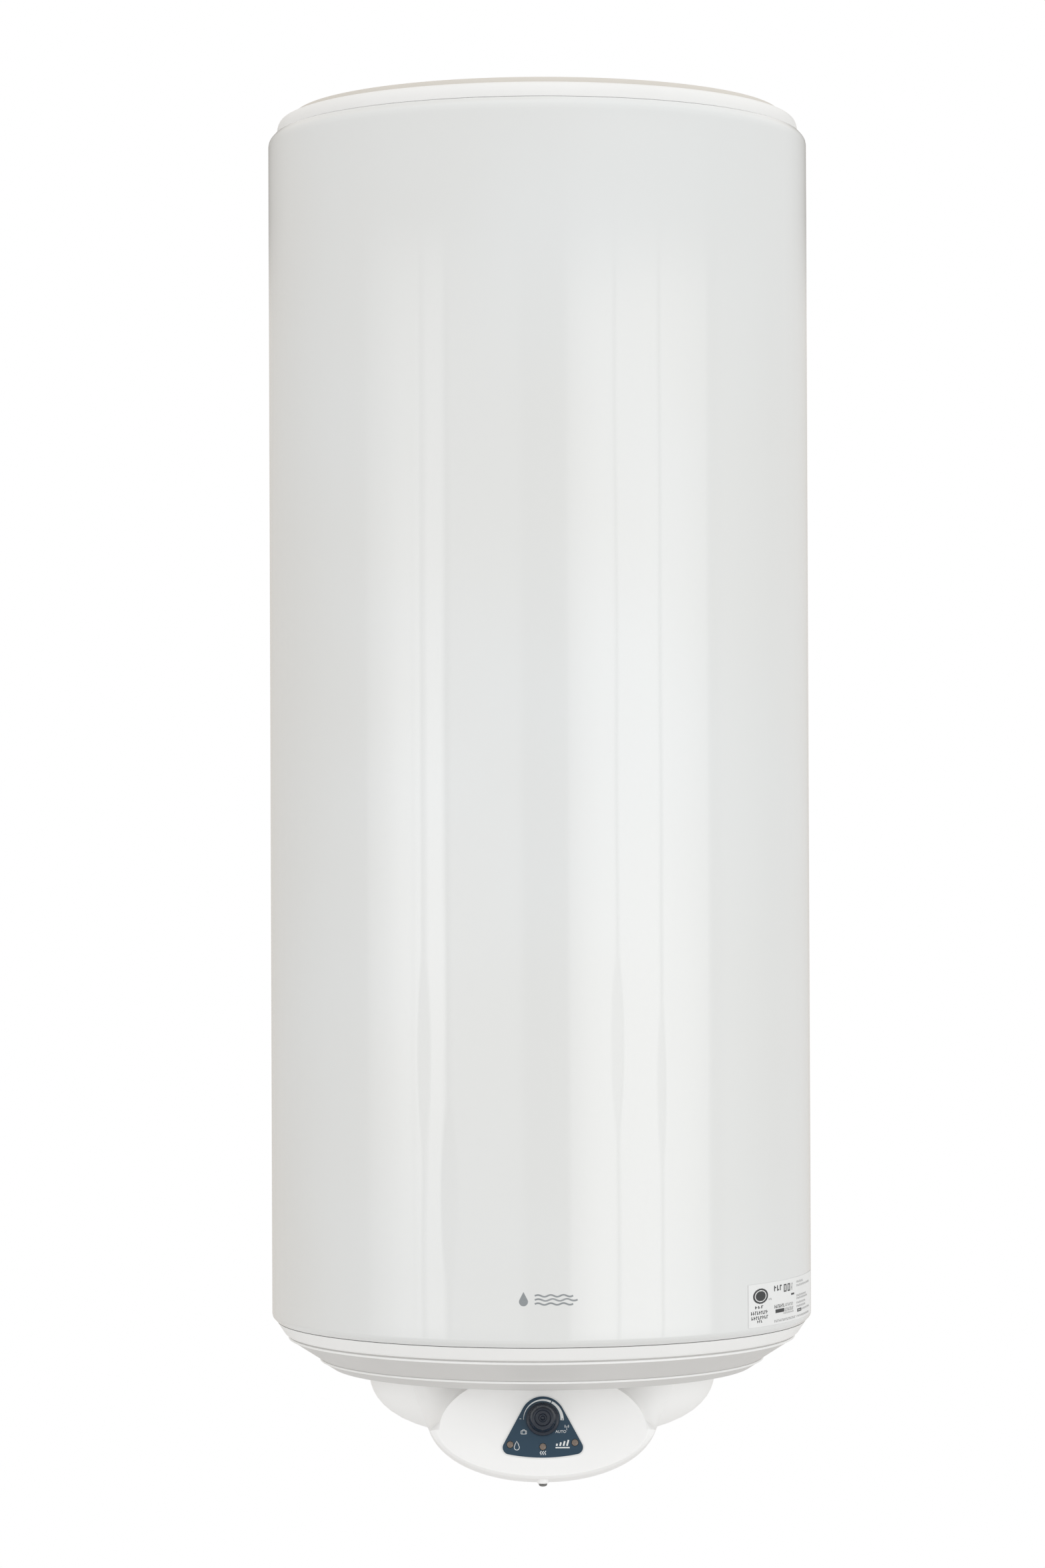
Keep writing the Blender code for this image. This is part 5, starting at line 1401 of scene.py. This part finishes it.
ROOM = (
    (-180, REAR_TONE), (-130, (0.72, 0.69, 0.65)), (-90, (0.84, 0.83, 0.82)), (-60, (0.88, 0.88, 0.88)),
    (0, (0.89, 0.89, 0.89)), (80, (0.87, 0.88, 0.88)), (130, (0.86, 0.85, 0.84)), (180, REAR_TONE),
)
REAR = ((-180, 1.0), (-130, 0.0), (130, 0.0), (180, 1.0))

# Light as (height, level), with the height 0 straight down, 0.5 at the horizon and 1 straight up.
LEFT_HEIGHTS = (
    (0.28, 0.0), (0.38, 0.30), (0.445, 0.56), (0.487, 1.06), (0.507, 0.96), (0.52, 0.80), (0.538, 0.55),
    (0.556, 0.42), (0.562, 0.24), (0.566, 0.0),
)
RIGHT_HEIGHTS = (
    (0.28, 0.0), (0.38, 0.50), (0.445, 0.92), (0.487, 1.0), (0.507, 0.90), (0.52, 0.86), (0.538, 0.72),
    (0.556, 0.62), (0.560, 0.45), (0.565, 0.10), (0.575, 0.0),
)
OVERHEAD = ((0.0, 0.78), (0.43, 0.90), (0.578, 0.91), (0.66, 1.04), (1.0, 1.30))
ABOVE_REAR = ((0.556, 0.0), (0.566, 1.0), (0.64, 1.0), (0.72, 0.0))
BOX_STRENGTH = 1.4
REAR_SHADE = -0.45


def make_world():
    """A white surround for the camera. What lights the heater is a soft room with two tall softboxes."""
    world = bpy.data.worlds.new("studio")
    bpy.context.scene.world = world
    world.use_nodes = True
    tree = world.node_tree
    tree.nodes.clear()
    link = tree.links.new

    def math(operation, *values):
        node = tree.nodes.new("ShaderNodeMath")
        node.operation = operation
        for index, value in enumerate(values):
            if isinstance(value, float):
                node.inputs[index].default_value = value
            else:
                link(value, node.inputs[index])
        return node.outputs["Value"]

    def mix(blend, first, second):
        node = set_inputs(tree.nodes.new("ShaderNodeMix"), Factor=1.0)
        node.data_type = "RGBA"
        node.blend_type = blend
        link(first, node.inputs["A"])
        link(second, node.inputs["B"])
        return node.outputs["Result"]

    place = tree.nodes.new("ShaderNodeTexCoord")
    split = tree.nodes.new("ShaderNodeSeparateXYZ")
    link(place.outputs["Generated"], split.inputs["Vector"])
    turn = math("ARCTAN2", split.outputs["X"], math("MULTIPLY", split.outputs["Y"], -1.0))
    share = math("MULTIPLY_ADD", turn, 1 / (2 * pi), 0.5)
    height = math("MULTIPLY_ADD", split.outputs["Z"], 0.5, 0.5)

    def round_about(stops, interpolation="LINEAR"):
        shares = [(degree / 360.0 + 0.5, level) for degree, level in stops]
        return colour_ramp(tree, share, shares, interpolation)

    def upwards(stops):
        return colour_ramp(tree, height, stops)

    left_light = math("MULTIPLY", round_about(LEFT_BOX), upwards(LEFT_HEIGHTS))
    right_light = math("MULTIPLY", round_about(RIGHT_BOX), upwards(RIGHT_HEIGHTS))
    box_light = math("MULTIPLY", math("ADD", left_light, right_light), BOX_STRENGTH)
    shade = math("MULTIPLY", math("MULTIPLY", round_about(REAR), upwards(ABOVE_REAR)), REAR_SHADE)
    room_level = math("ADD", upwards(OVERHEAD), shade)
    total = mix("ADD", mix("MULTIPLY", round_about(ROOM, "EASE"), room_level), box_light)
    light = tree.nodes.new("ShaderNodeBackground")
    link(total, light.inputs["Color"])
    seen = set_inputs(tree.nodes.new("ShaderNodeBackground"), Color=(1.0, 1.0, 1.0, 1.0))
    path = tree.nodes.new("ShaderNodeLightPath")
    switch = tree.nodes.new("ShaderNodeMixShader")
    link(path.outputs["Is Camera Ray"], switch.inputs["Fac"])
    link(light.outputs["Background"], switch.inputs[1])
    link(seen.outputs["Background"], switch.inputs[2])
    output = tree.nodes.new("ShaderNodeOutputWorld")
    link(switch.outputs["Shader"], output.inputs["Surface"])


def make_camera():
    """A long lens square to the heater's front, at its middle height, with a slight tilt up and roll."""
    pitch = radians(0.47)
    roll = radians(-0.226)
    stand = Vector((-0.016, -4.2267, 0.4658))
    focal_length = 103.3183
    data = bpy.data.cameras.new("camera")
    data.sensor_width = 36.0
    data.lens = focal_length
    data.clip_end = 60.0
    camera = bpy.data.objects.new("camera", data)
    bpy.context.scene.collection.objects.link(camera)
    place = Matrix.Translation(TANK.translation + stand)
    camera.matrix_world = place @ Matrix.Rotation(pi / 2 + pitch, 4, "X") @ Matrix.Rotation(roll, 4, "Z")
    bpy.context.scene.camera = camera


dress_cad_nodes()
make_jacket()
make_top_cover()
make_lid_ribs()
make_bottom_cover()
make_collar_painted_light()
make_bead("upper_bead", *UPPER_BEAD)
make_bead("lower_bead", *LOWER_BEAD)
make_service_cover()
make_cover_tab()
make_label()
make_legend()
make_knob()
make_lenses()
make_cover_screw()
for pipe, stub in PIPES.items():
    make_pipe(pipe, stub)
make_pipe_ring("hot_pipe_ring", "signal_red")
make_pipe_ring("cold_pipe_ring", "signal_blue")
make_grommet()
make_bracket("upper_bracket")
make_bracket("lower_bracket")
make_sticker()
make_jacket_mark()
make_floor()
make_world()
make_camera()
bpy.context.scene.view_settings.view_transform = "Standard"
